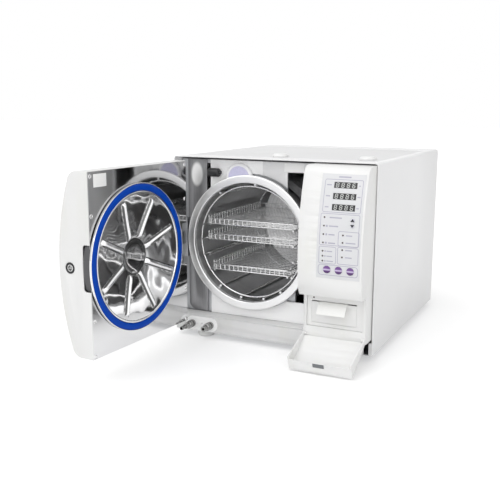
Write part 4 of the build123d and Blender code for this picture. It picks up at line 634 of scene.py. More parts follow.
@dataclass(frozen=True)
class PrintedFilm(Finish):
    """Pale keypad film with printed line frames and plain bars."""

    line: Triple = (0.33, 0.27, 0.47)
    tint: Triple = (0.74, 0.73, 0.86)
    half_line: float = 0.35
    frames: tuple[Frame, ...] = ()
    bars: tuple[Frame, ...] = ()

    def distance(self, graph: ShaderGraph, x: Signal, z: Signal, area: Frame) -> Signal:
        """Millimetres from a rounded frame's line; negative inside it.

        Args:
            graph: The material's tree.
            x: Place across, in millimetres.
            z: Height, in millimetres.
            area: The frame.

        Returns:
            The distance.
        """
        across = abs(x - (area.left + area.right) / 2) - ((area.right - area.left) / 2 - area.corner)
        up = abs(z - (area.low + area.high) / 2) - ((area.high - area.low) / 2 - area.corner)
        outside = (across.most(0.0) * across.most(0.0) + up.most(0.0) * up.most(0.0)).maths("SQRT")
        return outside + across.most(up).least(0.0) - area.corner

    def build(self) -> bpy.types.Material:
        """Builds the material.

        Returns:
            The material.
        """
        graph = ShaderGraph(self.name)
        x, _, z = graph.parts(graph.point((1000.0, 1000.0, 1000.0)))
        fine = graph.noise(graph.point(), 2200.0, 1.0)
        cloud = graph.noise(graph.point(), 14.0, 2.0)
        colour = graph.mixed(cloud.smooth(0.3, 0.75), self.colour, self.tint)
        for area in self.frames:
            reach = self.distance(graph, x, z, area)
            colour = graph.mixed(reach.below(0.0) * 0.22, colour, self.tint)
            line = abs(reach).smooth(self.half_line, 2 * self.half_line, 0.75, 0.0)
            colour = graph.mixed(line, colour, self.line)
        for area in self.bars:
            reach = self.distance(graph, x, z, area)
            colour = graph.mixed(reach.smooth(-0.3, 0.3, 0.72, 0.0), colour, self.line)
        return graph.surface(
            {
                "Base Color": colour,
                "Roughness": fine * 0.08 + self.roughness,
                "Normal": graph.bump(fine, 0.000015),
                "Coat Weight": 0.2,
                "Coat Roughness": 0.3,
            }
        )


@dataclass(frozen=True)
class RimmedDisc(Finish):
    """White moulding whose round face is lavender inside its rim."""

    centre: Triple = (-0.078, 0.0, 0.335)
    radius: float = 0.0245
    face: Triple = (0.62, 0.61, 0.80)

    def build(self) -> bpy.types.Material:
        """Builds the material.

        Returns:
            The material.
        """
        graph = ShaderGraph(self.name)
        x, _, z = graph.parts(graph.point((1.0, 1.0, 1.0), self.centre))
        reach = (x * x + z * z).maths("SQRT")
        fine = graph.noise(graph.point(), 1500.0, 1.0)
        felt = graph.noise(graph.point(), 300.0, 3.0)
        inside = reach.smooth(self.radius - 0.0008, self.radius, 1.0, 0.0)
        tone = graph.mixed(felt.smooth(0.3, 0.7), self.face, dimmed(self.face, 0.9))
        return graph.surface(
            {
                "Base Color": graph.mixed(inside, self.colour, tone),
                "Roughness": fine * 0.1 + self.roughness,
                "Normal": graph.bump(felt * inside + fine * 0.3, 0.00005),
            }
        )


@dataclass(frozen=True)
class Board(Finish):
    """Green circuit board with copper lines under its lacquer."""

    copper: Triple = (0.16, 0.36, 0.12)
    pitch: Pair = (3.0, 4.5)

    def build(self) -> bpy.types.Material:
        """Builds the material.

        Returns:
            The material.
        """
        graph = ShaderGraph(self.name)
        x, _, z = graph.parts(graph.point((1000.0, 1000.0, 1000.0)))
        lines = abs((x / self.pitch[0]).maths("FRACT") - 0.5).below(0.12)
        rows = abs((z / self.pitch[1]).maths("FRACT") - 0.5).below(0.1)
        cloud = graph.noise(graph.point(), 40.0, 2.0)
        mask = lines.most(rows) * cloud.above(0.45)
        return graph.surface(
            {
                "Base Color": graph.mixed(mask, self.colour, self.copper),
                "Roughness": cloud * 0.1 + self.roughness,
                "Normal": graph.bump(mask, 0.00004),
            }
        )


class GeometryGraph(Graph):
    """A Geometry Nodes tree with named inputs that ends in real, dressed mesh."""

    def __init__(self, name: str, inputs: dict[str, str]) -> None:
        """Starts the tree.

        Args:
            name: The tree's name.
            inputs: Its inputs' names and socket types, besides the finish.
        """
        group = bpy.data.node_groups.new(name, "GeometryNodeTree")
        super().__init__(group)
        group.interface.new_socket("Geometry", in_out="INPUT", socket_type="NodeSocketGeometry")
        self.identifiers: dict[str, str] = {}
        for label, kind in {**inputs, "Finish": "NodeSocketMaterial"}.items():
            made = group.interface.new_socket(label, in_out="INPUT", socket_type=kind)
            self.identifiers[label] = made.identifier
        group.interface.new_socket("Geometry", in_out="OUTPUT", socket_type="NodeSocketGeometry")
        self.start = group.nodes.new("NodeGroupInput")

    def given(self, label: str) -> Signal:
        """One of the tree's inputs."""
        return Signal(self, self.start.outputs[label])

    def finish(self, geometry: Signal, smooth: bool = True) -> None:
        """Closes the tree: real mesh, shading and finish.

        Args:
            geometry: What the tree has made.
            smooth: Whether its faces are shaded smooth.
        """
        real = self.node("GeometryNodeRealizeInstances", {}, {0: geometry})
        shaded = self.node("GeometryNodeSetShadeSmooth", {}, {0: real, "Shade Smooth": smooth})
        sockets = {0: shaded, "Material": self.given("Finish")}
        self.node("NodeGroupOutput", {}, {0: self.node("GeometryNodeSetMaterial", {}, sockets)})


def wire_recipe() -> GeometryGraph:
    """Turns the seed's edges into round wire.

    Returns:
        The tree.
    """
    graph = GeometryGraph("wire", {"Radius": "NodeSocketFloat", "Sides": "NodeSocketInt"})
    line = graph.node("GeometryNodeMeshToCurve", {}, {0: graph.given("Geometry")})
    ring = {"Resolution": graph.given("Sides"), "Radius": graph.given("Radius")}
    section = graph.node("GeometryNodeCurvePrimitiveCircle", {}, ring)
    sockets = {"Curve": line, "Profile Curve": section, "Fill Caps": True}
    graph.finish(graph.node("GeometryNodeCurveToMesh", {}, sockets))
    return graph


def scatter_recipe() -> GeometryGraph:
    """Puts a copy of one piece on every point of the seed.

    Returns:
        The tree.
    """
    graph = GeometryGraph("scatter", {"Piece": "NodeSocketObject"})
    piece = graph.node("GeometryNodeObjectInfo", {}, {0: graph.given("Piece")}, "Geometry")
    sockets = {"Points": graph.given("Geometry"), "Instance": piece}
    graph.finish(graph.node("GeometryNodeInstanceOnPoints", {}, sockets))
    return graph


def ring_recipe() -> GeometryGraph:
    """Turns copies of one piece evenly round an axis through a centre.

    Returns:
        The tree, which ignores its seed.
    """
    kinds = {
        "Piece": "NodeSocketObject",
        "Count": "NodeSocketInt",
        "Start": "NodeSocketFloat",
        "Axis": "NodeSocketVector",
        "Centre": "NodeSocketVector",
    }
    graph = GeometryGraph("ring", kinds)
    piece = graph.node("GeometryNodeObjectInfo", {}, {0: graph.given("Piece")}, "Geometry")
    centre = graph.given("Centre")
    stack = {"Count": graph.given("Count"), "Start Location": centre, "Offset": (0.0, 0.0, 0.0)}
    points = graph.node("GeometryNodeMeshLine", {}, stack)
    index = graph.node("GeometryNodeInputIndex")
    angle = index / graph.given("Count") * math.tau + graph.given("Start")
    scaled = {0: graph.given("Axis"), "Scale": angle}
    turn = graph.node("ShaderNodeVectorMath", {"operation": "SCALE"}, scaled)
    sockets = {"Points": points, "Instance": piece, "Rotation": turn}
    graph.finish(graph.node("GeometryNodeInstanceOnPoints", {}, sockets))
    return graph


def pressed_dish_recipe() -> GeometryGraph:
    """A round pressed dish about Y, its ribs raised along its slope and its mesh closer at the ribs.

    Returns:
        The tree, which ignores its seed.
    """
    lengths = ("Radius", "Hub", "Depth", "Crest", "Rib width", "Rib height", "Rib start", "Rib end")
    kinds = {label: "NodeSocketFloat" for label in (*lengths, "First rib")}
    kinds.update({label: "NodeSocketInt" for label in ("Ribs", "Rows", "Steps")})
    kinds["Centre"] = "NodeSocketVector"
    graph = GeometryGraph("pressed_dish", kinds)
    rows, steps = graph.given("Rows"), graph.given("Steps")
    sheet = {"Size X": 1.0, "Size Y": 1.0, "Vertices X": rows, "Vertices Y": steps}
    grid = graph.node("GeometryNodeMeshGrid", {}, sheet)
    across, along, _ = graph.parts(graph.node("GeometryNodeInputPosition"))
    radius = (across + 0.5) * graph.given("Radius")
    even = (along + 0.5) * math.tau
    ribs = graph.given("Ribs")
    crowd = ((even - graph.given("First rib")) * ribs).maths("SINE") / ribs
    angle = even - crowd * 0.7
    pitch = graph.node("ShaderNodeMath", {"operation": "DIVIDE"}, {0: math.tau, 1: graph.given("Ribs")})
    turned = (angle - graph.given("First rib")) / pitch
    offset = (turned - turned.maths("ROUND")) * pitch
    aside = radius * offset.maths("SINE") / graph.given("Rib width")
    bulge = (1.0 - aside * aside).most(0.0)
    fade = graph.given("Rib width") * 1.6
    head = ((radius - graph.given("Rib start")) / fade).most(0.0).least(1.0)
    tail = ((graph.given("Rib end") - radius) / fade).most(0.0).least(1.0)
    window = (head * (2.0 - head)).maths("SQRT") * (tail * (2.0 - tail)).maths("SQRT")
    slope = ((radius - graph.given("Hub")) / (graph.given("Radius") - graph.given("Hub"))).most(0.0)
    dish = slope * slope * 0.35 + slope * 0.65
    depth = dish * graph.given("Depth") - graph.given("Depth")
    height = depth + bulge * window * graph.given("Rib height") + graph.given("Crest")
    place = graph.vector(radius * angle.maths("COSINE"), height, radius * angle.maths("SINE"))
    sums = {0: place, 1: graph.given("Centre")}
    sunk = graph.node("ShaderNodeVectorMath", {"operation": "ADD"}, sums)
    moved = graph.node("GeometryNodeSetPosition", {}, {0: grid, "Position": sunk})
    graph.finish(graph.node("GeometryNodeMergeByDistance", {}, {0: moved, "Distance": 0.00001}))
    return graph


class Axis(Enum):
    """The line that a piece is turned about or drawn along."""

    X = 0
    Y = 1
    Z = 2

    def place(self, a: float, b: float, along: float) -> Triple:
        """A place from two distances beside the axis and one along it."""
        shaded_side = (a, b)
        return (*shaded_side[: self.value], along, *shaded_side[self.value :])


def mm(*values: float) -> Triple:
    """Millimetres to metres."""
    return tuple(value * MM for value in values)


def eased(points: Sequence[Pair], radius: float, closed: bool = True, steps: int = 4) -> list[Pair]:
    """An outline with its corners rounded.

    Args:
        points: The corners.
        radius: How far each corner is cut back, at most.
        closed: Whether the last corner joins the first.
        steps: Points along each rounding.

    Returns:
        The rounded outline.
    """
    made: list[Pair] = []
    count = len(points)
    for number, (x, y) in enumerate(points):
        if not closed and number in (0, count - 1):
            made.append((x, y))
            continue
        before, after = points[number - 1], points[(number + 1) % count]
        ends = []
        for other in (before, after):
            reach = math.dist((x, y), other)
            share = min(radius, reach * 0.45) / reach if reach > 0 else 0.0
            ends.append((x + (other[0] - x) * share, y + (other[1] - y) * share))
        for step in range(steps + 1):
            t = step / steps
            a, b, c = (1 - t) ** 2, 2 * t * (1 - t), t * t
            (x0, y0), (x1, y1) = ends
            made.append((a * x0 + b * x + c * x1, a * y0 + b * y + c * y1))
    return made


def shifted(profile: Iterable[Pair], along: float) -> list[Pair]:
    """A profile moved along its axis."""
    return [(radius, place + along) for radius, place in profile]


def spaced(low: float, high: float, pitch: float) -> list[float]:
    """Even places from one to another, about a pitch apart."""
    count = round((high - low) / pitch)
    return [low + step * (high - low) / count for step in range(count + 1)]


def circled(centre: Triple, radius: float, steps: int) -> list[Triple]:
    """Places on a circle about a line along Y.

    Args:
        centre: The circle's middle.
        radius: Its radius.
        steps: How many places.

    Returns:
        The places.
    """
    x, y, z = centre
    angles = (math.tau * step / steps for step in range(steps))
    return [(x + radius * math.cos(angle), y, z + radius * math.sin(angle)) for angle in angles]


def lathe(
    profile: Sequence[Pair], centre: Triple, axis: Axis, segments: int = 128, closed: bool = True
) -> bpy.types.Mesh:
    """A turned mesh, in millimetres.

    Args:
        profile: Radius and place along the axis, point by point.
        centre: The axis's origin.
        axis: The axis.
        segments: Steps round it.
        closed: Whether the profile's end joins its start.

    Returns:
        The mesh, in metres.
    """
    bm = bmesh.new()
    rings = []
    for radius, along in profile:
        if radius < 1e-6:
            rings.append([bm.verts.new(off_centre(axis.place(0.0, 0.0, along), centre))] * segments)
            continue
        ring = []
        for step in range(segments):
            angle = math.tau * step / segments
            place = axis.place(radius * math.cos(angle), radius * math.sin(angle), along)
            ring.append(bm.verts.new(off_centre(place, centre)))
        rings.append(ring)
    pairs = list(zip(rings, rings[1:] + rings[:1])) if closed else list(zip(rings, rings[1:]))
    for first, second in pairs:
        for step in range(segments):
            after = (step + 1) % segments
            corners = [first[step], first[after], second[after], second[step]]
            unique = list(dict.fromkeys(corners))
            if len(unique) > 2:
                bm.faces.new(unique)
    return sealed(bm)


def off_centre(place: Triple, centre: Triple) -> Triple:
    """A place moved by a centre, from millimetres to metres."""
    return mm(*(part + offset for part, offset in zip(place, centre)))


def sealed(bm: bmesh.types.BMesh, scale: float = 1.0) -> bpy.types.Mesh:
    """A finished mesh from a bmesh, its faces pointing outward.

    Args:
        bm: The bmesh, which is freed.
        scale: What its lengths are multiplied by.

    Returns:
        The mesh.
    """
    bmesh.ops.remove_doubles(bm, verts=bm.verts, dist=1e-7)
    bmesh.ops.recalc_face_normals(bm, faces=bm.faces)
    if scale != 1.0:
        bmesh.ops.scale(bm, vec=(scale, scale, scale), verts=bm.verts)
    mesh = bpy.data.meshes.new("made")
    bm.to_mesh(mesh)
    bm.free()
    return mesh


def prism(
    outline: Sequence[Pair], low: float, high: float, axis: Axis, ease: float = 0.0
) -> bpy.types.Mesh:
    """A drawn-out outline, in millimetres.

    Args:
        outline: Corners in the two axes beside the drawing axis, in X, Y, Z order.
        low: Where it starts along the axis.
        high: Where it ends.
        axis: The drawing axis.
        ease: How far its edges are softened.

    Returns:
        The mesh, in metres.
    """
    bm = bmesh.new()
    ends = []
    for along in (low, high):
        ends.append([bm.verts.new(axis.place(a, b, along)) for a, b in outline])
    bm.faces.new(ends[0])
    bm.faces.new(list(reversed(ends[1])))
    for number in range(len(outline)):
        after = (number + 1) % len(outline)
        bm.faces.new([ends[0][number], ends[0][after], ends[1][after], ends[1][number]])
    bmesh.ops.recalc_face_normals(bm, faces=bm.faces)
    if ease > 0:
        rims = [edge for edge in bm.edges if edge.calc_face_angle(0.0) > 0.6]
        bmesh.ops.bevel(bm, geom=rims, offset=ease, segments=2, affect="EDGES", profile=0.5)
    return sealed(bm, MM)


def slab(low: Triple, high: Triple, ease: float = 0.0) -> bpy.types.Mesh:
    """A block between two corners, in millimetres, with softened edges."""
    outline = [(low[0], low[2]), (high[0], low[2]), (high[0], high[2]), (low[0], high[2])]
    return prism(outline, low[1], high[1], Axis.Y, ease)


def joined(meshes: Iterable[bpy.types.Mesh]) -> bpy.types.Mesh:
    """Several meshes as one.

    Args:
        meshes: The meshes, which are removed.

    Returns:
        The mesh of all.
    """
    bm = bmesh.new()
    for mesh in meshes:
        bm.from_mesh(mesh)
        bpy.data.meshes.remove(mesh)
    made = bpy.data.meshes.new("made")
    bm.to_mesh(made)
    bm.free()
    return made


def strands(chains: Iterable[Chain]) -> bpy.types.Mesh:
    """An edges-only mesh from chains of places, each open or closed.

    Args:
        chains: Places in millimetres, and whether the chain closes.

    Returns:
        The mesh, in metres.
    """
    places: list[Triple] = []
    edges: list[tuple[int, int]] = []
    for chain, closed in chains:
        first = len(places)
        places.extend(mm(*place) for place in chain)
        edges.extend((number, number + 1) for number in range(first, len(places) - 1))
        if closed:
            edges.append((len(places) - 1, first))
    mesh = bpy.data.meshes.new("strands")
    mesh.from_pydata(places, edges, [])
    return mesh


def dots(places: Iterable[Triple]) -> bpy.types.Mesh:
    """A mesh of loose points.

    Args:
        places: Where they lie, in millimetres.

    Returns:
        The mesh, in metres.
    """
    mesh = bpy.data.meshes.new("dots")
    mesh.from_pydata([mm(*place) for place in places], [], [])
    return mesh


def about(place: Triple, angle: float, axis: str) -> Matrix:
    """A turn about an axis through a place.

    Args:
        place: A point of the axis, in millimetres.
        angle: Degrees.
        axis: "X", "Y" or "Z".

    Returns:
        The matrix, in metres.
    """
    middle = Vector(mm(*place))
    turn = Matrix.Rotation(math.radians(angle), 4, axis)
    return Matrix.Translation(middle) @ turn @ Matrix.Translation(-middle)


class Workshop:
    """Turns meshes into finished pieces that ride on the frame's bodies."""

    def __init__(self, frame: dict[str, Any], finishes: Sequence[Finish]) -> None:
        """Reads what the frame says of each node.

        Args:
            finishes: Every finish that is used.
        """
        self.nodes: dict[str, bpy.types.Object] = frame["nodes"]
        record = frame["record"]
        self.slots = {row["node"]: row["material_slot"] for row in record["subparts"]}
        bodies = record["behaviour"]["bodies"]
        self.bodies = {node: body for body, nodes in bodies.items() for node in nodes}
        self.recipes = {finish.name: finish for finish in finishes}
        self.made: dict[str, bpy.types.Material] = {}
        self.wire_tree = wire_recipe()
        self.scatter_tree = scatter_recipe()
        self.ring_tree = ring_recipe()

    def finish(self, name: str) -> bpy.types.Material:
        """The material of a finish, made once.

        Args:
            name: The finish's name.

        Returns:
            The material.
        """
        if name not in self.made:
            self.made[name] = self.recipes[name].build()
        return self.made[name]

    def dress(self, finish: str, *nodes: str) -> None:
        """Gives CAD nodes a finish.

        Args:
            finish: The finish's name.
            nodes: The nodes, which keep their solids.
        """
        for node in nodes:
            target = self.nodes[node]
            target.data.materials.clear()
            target.data.materials.append(self.finish(finish))
            LOG.info("%s keeps its solid in %s", node, finish)

    def piece(
        self,
        name: str,
        mesh: bpy.types.Mesh,
        finish: str,
        node: str,
        stands_for: Sequence[str] = (),
        smooth: float = 32.0,
    ) -> bpy.types.Object:
        """Puts a finished mesh into the scene.

        Args:
            name: The piece's name.
            mesh: Its mesh, placed, in metres.
            finish: Its finish.
            node: The CAD node whose body it shares.
            stands_for: CAD nodes that it replaces.
            smooth: Faces that meet at less than this many degrees are shaded as one.

        Returns:
            The object.
        """
        mesh.name = name
        mesh.polygons.foreach_set("use_smooth", [True] * len(mesh.polygons))
        if smooth < 180.0:
            mesh.set_sharp_from_angle(angle=math.radians(smooth))
        mesh.materials.clear()
        mesh.materials.append(self.finish(finish))
        made = bpy.data.objects.new(name, mesh)
        bpy.context.scene.collection.objects.link(made)
        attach(made, self.bodies[node])
        if stands_for:
            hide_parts(*stands_for)
        mesh.calc_loop_triangles()
        LOG.info("%s: %d triangles on %s", name, len(mesh.loop_triangles), self.bodies[node])
        return made

    def modified(
        self,
        mesh: bpy.types.Mesh,
        kind: str,
        settings: dict[str, Any],
        inputs: dict[str, Any] | None = None,
    ) -> bpy.types.Mesh:
        """What one modifier makes of a mesh.

        Args:
            mesh: The mesh that goes in.
            kind: The modifier's kind.
            settings: Its settings by name.
            inputs: Its tree's inputs by their identifiers.

        Returns:
            A plain mesh.
        """
        carrier = bpy.data.objects.new("carrier", mesh)
        bpy.context.scene.collection.objects.link(carrier)
        modifier = carrier.modifiers.new("form", kind)
        for name, value in settings.items():
            setattr(modifier, name, value)
        for identifier, value in (inputs or {}).items():
            modifier[identifier] = value
        carrier.update_tag()
        bpy.context.view_layer.update()
        evaluated = carrier.evaluated_get(bpy.context.evaluated_depsgraph_get())
        made = bpy.data.meshes.new_from_object(evaluated)
        carrier.modifiers.remove(modifier)
        bpy.data.objects.remove(carrier)
        return made

    def grown(
        self, seed: bpy.types.Mesh, recipe: GeometryGraph, values: dict[str, Any]
    ) -> bpy.types.Mesh:
        """The plain mesh that a recipe makes of a seed mesh and of its inputs by name."""
        inputs = {recipe.identifiers[label]: value for label, value in values.items()}
        return self.modified(seed, "NODES", {"node_group": recipe.tree}, inputs)

    def wire(
        self, chains: Iterable[Chain], radius: float, finish: str, sides: int = 10
    ) -> bpy.types.Mesh:
        """Round wire along chains of places, in millimetres."""
        values = {"Radius": radius * MM, "Sides": sides, "Finish": self.finish(finish)}
        return self.grown(strands(chains), self.wire_tree, values)

    def copies(self, mesh: bpy.types.Mesh, places: Iterable[Triple], finish: str) -> bpy.types.Mesh:
        """Copies of a small mesh, made about the origin, at places in millimetres."""
        return self.spread(mesh, dots(places), self.scatter_tree, {}, finish)

    def ring(
        self,
        mesh: bpy.types.Mesh,
        count: int,
        centre: Triple,
        axis: Triple,
        finish: str,
        start: float = 0.0,
    ) -> bpy.types.Mesh:
        """Copies of a small mesh in a ring about an axis, the first at an angle in degrees."""
        values = {"Count": count, "Start": math.radians(start), "Axis": axis, "Centre": mm(*centre)}
        return self.spread(mesh, dots([(0.0, 0.0, 0.0)]), self.ring_tree, values, finish)

    def spread(
        self,
        mesh: bpy.types.Mesh,
        seed: bpy.types.Mesh,
        recipe: GeometryGraph,
        values: dict[str, Any],
        finish: str,
    ) -> bpy.types.Mesh:
        """A recipe that copies one piece.

        Args:
            mesh: The piece's mesh.
            seed: The recipe's seed.
            recipe: The tree.
            values: Its other inputs.
            finish: The copies' finish.

        Returns:
            The mesh of all copies.
        """
        pattern = bpy.data.objects.new("pattern", mesh)
        bpy.context.scene.collection.objects.link(pattern)
        made = self.grown(seed, recipe, {**values, "Piece": pattern, "Finish": self.finish(finish)})
        bpy.data.objects.remove(pattern)
        return made

    def merged(self, node: str, flatten: bool) -> bpy.types.Mesh:
        """A copy of a node's solid whose faces share their corners.

        Args:
            node: The node.
            flatten: Whether faces in one plane become one face.

        Returns:
            The mesh.
        """
        bm = bmesh.new()
        bm.from_mesh(self.nodes[node].data)
        bmesh.ops.remove_doubles(bm, verts=bm.verts, dist=WELD)
        if flatten:
            bmesh.ops.dissolve_limit(bm, angle_limit=SAME_PLANE, verts=bm.verts, edges=bm.edges)
        mesh = bpy.data.meshes.new(node)
        bm.to_mesh(mesh)
        bm.free()
        return mesh

    def softened(
        self, node: str, finish: str, width: float = 0.8, angle: float = 40.0, segments: int = 2
    ) -> bpy.types.Object:
        """Replaces a CAD node by a copy of it with softened edges.

        Args:
            node: The node.
            finish: Its finish.
            width: How far its edges are cut back, in millimetres.
            angle: Edges sharper than this many degrees are softened.
            segments: Steps across each edge.

        Returns:
            The new piece.
        """
        mesh = self.merged(node, True)
        mesh.polygons.foreach_set("use_smooth", [True] * len(mesh.polygons))
        settings = {
            "width": width * MM,
            "segments": segments,
            "limit_method": "ANGLE",
            "angle_limit": math.radians(angle),
            "miter_outer": "MITER_ARC",
            "harden_normals": True,
        }
        made = self.modified(mesh, "BEVEL", settings)
        return self.piece(f"{node}_formed", made, finish, node, (node,), 180.0)

    def smoothed(self, node: str, finish: str, angle: float = 30.0) -> bpy.types.Object:
        """Replaces a CAD node by a merged copy that is shaded smooth."""
        return self.piece(f"{node}_formed", self.merged(node, False), finish, node, (node,), angle)


@dataclass
class Chamber:
    """Mouth ring, vessel, rack and the three wire trays; sizes in millimetres."""

    x: float = -54.0
    z: float = 201.0
    mouth_y: float = -242.4
    bore: float = 125.0
    wall: float = 2.0
    ring: float = 141.5
    ring_depth: float = 9.0
    depth: float = 360.0
    dome: float = 28.0
    dome_steps: int = 14
    bead: Profile = ((0.0, -4.0), (-0.9, -2.8), (-0.9, -1.6))
    hoop: float = 117.6
    front_hoop: float = 117.2
    hoop_wire: float = 1.6
    rack_front: float = -227.4
    rack_rear: float = 51.6
    wire: float = 2.0
    runner: float = 2.7
    runner_circle: float = 122.0
    runner_angles: tuple[float, ...] = (55.0, 85.0, 125.0, 235.0, 260.0, 285.0, 305.0)
    tie: float = 16.0
    rest: float = 6.0
    widths: tuple[float, ...] = (206.0, 206.0, 206.0, 182.0)
    top_floor: float = 235.0
    level_pitch: float = 32.5
    sheet: float = 1.2
    tray_front: float = -231.4
    tray_length: float = 280.0
    tray_depth: float = 13.0
    tray_lift: float = 0.3
    side_rise: float = 5.0
    tray_wire: float = 1.2
    tray_margin: float = 12.0
    side_pitch: float = 12.2
    end_pitch: float = 10.6
    mesh_wire: float = 0.5
    mesh_margin: float = 4.0
    mesh_pitch: Pair = (7.6, 15.0)
    mesh_rise: Pair = (-0.5, 0.4)

    def build(self, shop: Workshop) -> None:
        """Makes everything in and round the mouth.

        Args:
            shop: Makes and places the pieces.
        """
        self.mouth_ring(shop)
        self.vessel(shop)
        self.rack(shop)
        for node, level in (("tray_upper", 0), ("tray_middle", 1), ("tray_lower", 3)):
            self.tray(shop, node, level)
        shop.dress("cast_metal", "heater_band")
        shop.dress("wool", "insulation_jacket")
        shop.dress("zinc_sheet", "chamber_cradles")

    def mouth_ring(self, shop: Workshop) -> None:
        """Turned ring, its front edges rounded.

        Args:
            shop: Makes and places the pieces.
        """
        front, back = self.mouth_y, self.mouth_y + self.ring_depth
        corners = [(self.bore, front), (self.ring, front), (self.ring, back), (self.bore, back)]
        mesh = lathe(eased(corners, 3.0), (self.x, 0.0, self.z), Axis.Y, 240)
        shop.piece("mouth_ring", mesh, "satin_ring", "chamber_flange", ("chamber_flange",))

    def vessel(self, shop: Workshop) -> None:
        """Tube and dished back in one skin, with the weld bead where they meet.

        Args:
            shop: Makes and places the pieces.
        """
        front = self.mouth_y + self.ring_depth
        back = self.mouth_y + self.depth
        ball = (self.bore**2 + self.dome**2) / (2 * self.dome)
        steps = range(self.dome_steps + 1)
        bead = [(self.bore + radius, back + along) for radius, along in self.bead]
        skins = []
        for grown in (0.0, self.wall):
            rows = [(self.bore + grown) * step / self.dome_steps for step in steps]
            domed = [math.sqrt((ball + grown) ** 2 - radius**2) for radius in rows]
            foot = back + self.dome - ball
            skins.append([(radius, foot + rise) for radius, rise in zip(rows, domed)])
        profile = [(self.bore, front), *bead, *reversed(skins[0]), *skins[1]]
        profile.append((self.bore + self.wall, front))
        mesh = lathe(profile, (self.x, 0.0, self.z), Axis.Y, 192)
        shop.piece("chamber_skin", mesh, "chamber_steel", "chamber_vessel", ("chamber_vessel",), 50.0)

    def rack(self, shop: Workshop) -> None:
        """Hoops, runner rods and the rails of each level, in bright wire.

        Args:
            shop: Makes and places the pieces.
        """
        front, rear = self.rack_front, self.rack_rear
        hoop_front, hoop_rear = front + 2 * self.wire, rear - 2 * self.wire
        crossings = (hoop_front + self.tie, (hoop_front + rear) / 2, rear - self.tie)
        hoops = [
            (circled((self.x, hoop_front, self.z), self.front_hoop, 96), True),
            (circled((self.x, hoop_rear, self.z), self.hoop, 96), True),
        ]
        thin = []
        for level, width in enumerate(self.widths):
            z = self.top_floor - level * self.level_pitch - self.sheet - self.wire
            reach = math.sqrt((self.hoop - self.wire) ** 2 - (z - self.z) ** 2)
            for side in (-1, 1):
                outer = self.x + side * reach
                inner = self.x + side * (width / 2 - self.rest)
                thin += [([(x, front, z), (x, rear, z)], False) for x in (outer, inner)]
                thin += [([(outer, y, z), (inner, y, z)], False) for y in crossings]
        thick = []
        for angle in self.runner_angles:
            x = self.x + self.runner_circle * math.cos(math.radians(angle))
            z = self.z + self.runner_circle * math.sin(math.radians(angle))
            thick.append(([(x, front, z), (x, rear, z)], False))
        parts = [
            shop.wire(hoops, self.hoop_wire, "rack_steel"),
            shop.wire(thin, self.wire, "rack_steel"),
            shop.wire(thick, self.runner, "rack_steel"),
        ]
        shop.piece("rack_wires", joined(parts), "rack_steel", "tray_rack", ("tray_rack",))

    def rim(self, width: float, inset: float, z: float, corner: float = 10.0) -> list[Triple]:
        """A rounded rectangle of places at a height, for a tray's rim.

        Args:
            width: The tray's width.
            inset: How far the wire's middle lies inside the tray's outline.
            z: The height.
            corner: The corners' radius.

        Returns:
            The places.
        """
        half = width / 2 - inset
        front = self.tray_front + inset
        rear = self.tray_front + self.tray_length - inset
        places = []
        for sx, y0, first in ((1, rear, 0), (-1, rear, 90), (-1, front, 180), (1, front, 270)):
            cx = self.x + sx * (half - corner)
            cy = y0 - corner if y0 == rear else y0 + corner
            for step in range(5):
                angle = math.radians(first + step * 22.5)
                places.append((cx + corner * math.cos(angle), cy + corner * math.sin(angle), z))
        return places

    def tray(self, shop: Workshop, node: str, level: int) -> None:
        """One tray: two rim wires, a woven floor, tall close side bars and square gaps in front.

        Args:
            shop: Makes and places the pieces.
            node: The tray's node.
            level: Its level in the rack, counted from the top.
        """
        width, wire = self.widths[level], self.tray_wire
        low = self.top_floor - level * self.level_pitch - self.sheet + self.tray_lift + wire
        high = low + self.tray_depth - 2 * wire
        top = high + self.side_rise
        left, right = self.x - width / 2, self.x + width / 2
        front, rear = self.tray_front, self.tray_front + self.tray_length
        sides, ends = (left + wire, right - wire), (front + wire, rear - wire)
        first, last = front + self.tray_margin, rear - self.tray_margin
        rims = [(self.rim(width, wire, z), True) for z in (high, low)]
        rows = spaced(first, last, self.side_pitch)
        bars = [([(x, y, top), (x, y, low)], False) for y in rows for x in sides]
        bars += [([(x, first, top), (x, last, top)], False) for x in sides]
        columns = spaced(left + self.tray_margin, right - self.tray_margin, self.end_pitch)
        bars += [([(x, y, high), (x, y, low)], False) for x in columns for y in ends]
        under, over = (low + rise for rise in self.mesh_rise)
        lines = spaced(left + self.mesh_margin, right - self.mesh_margin, self.mesh_pitch[0])
        floor = [([(x, ends[0], under), (x, ends[1], under)], False) for x in lines]
        lines = spaced(front + self.mesh_margin, rear - self.mesh_margin, self.mesh_pitch[1])
        floor += [([(sides[0], y, over), (sides[1], y, over)], False) for y in lines]
        parts = [
            shop.wire(rims, wire, "rack_steel", 10),
            shop.wire(bars, wire, "rack_steel", 8),
            shop.wire(floor, self.mesh_wire, "rack_steel", 6),
        ]
        shop.piece(f"{node}_wires", joined(parts), "rack_steel", node, (node,))


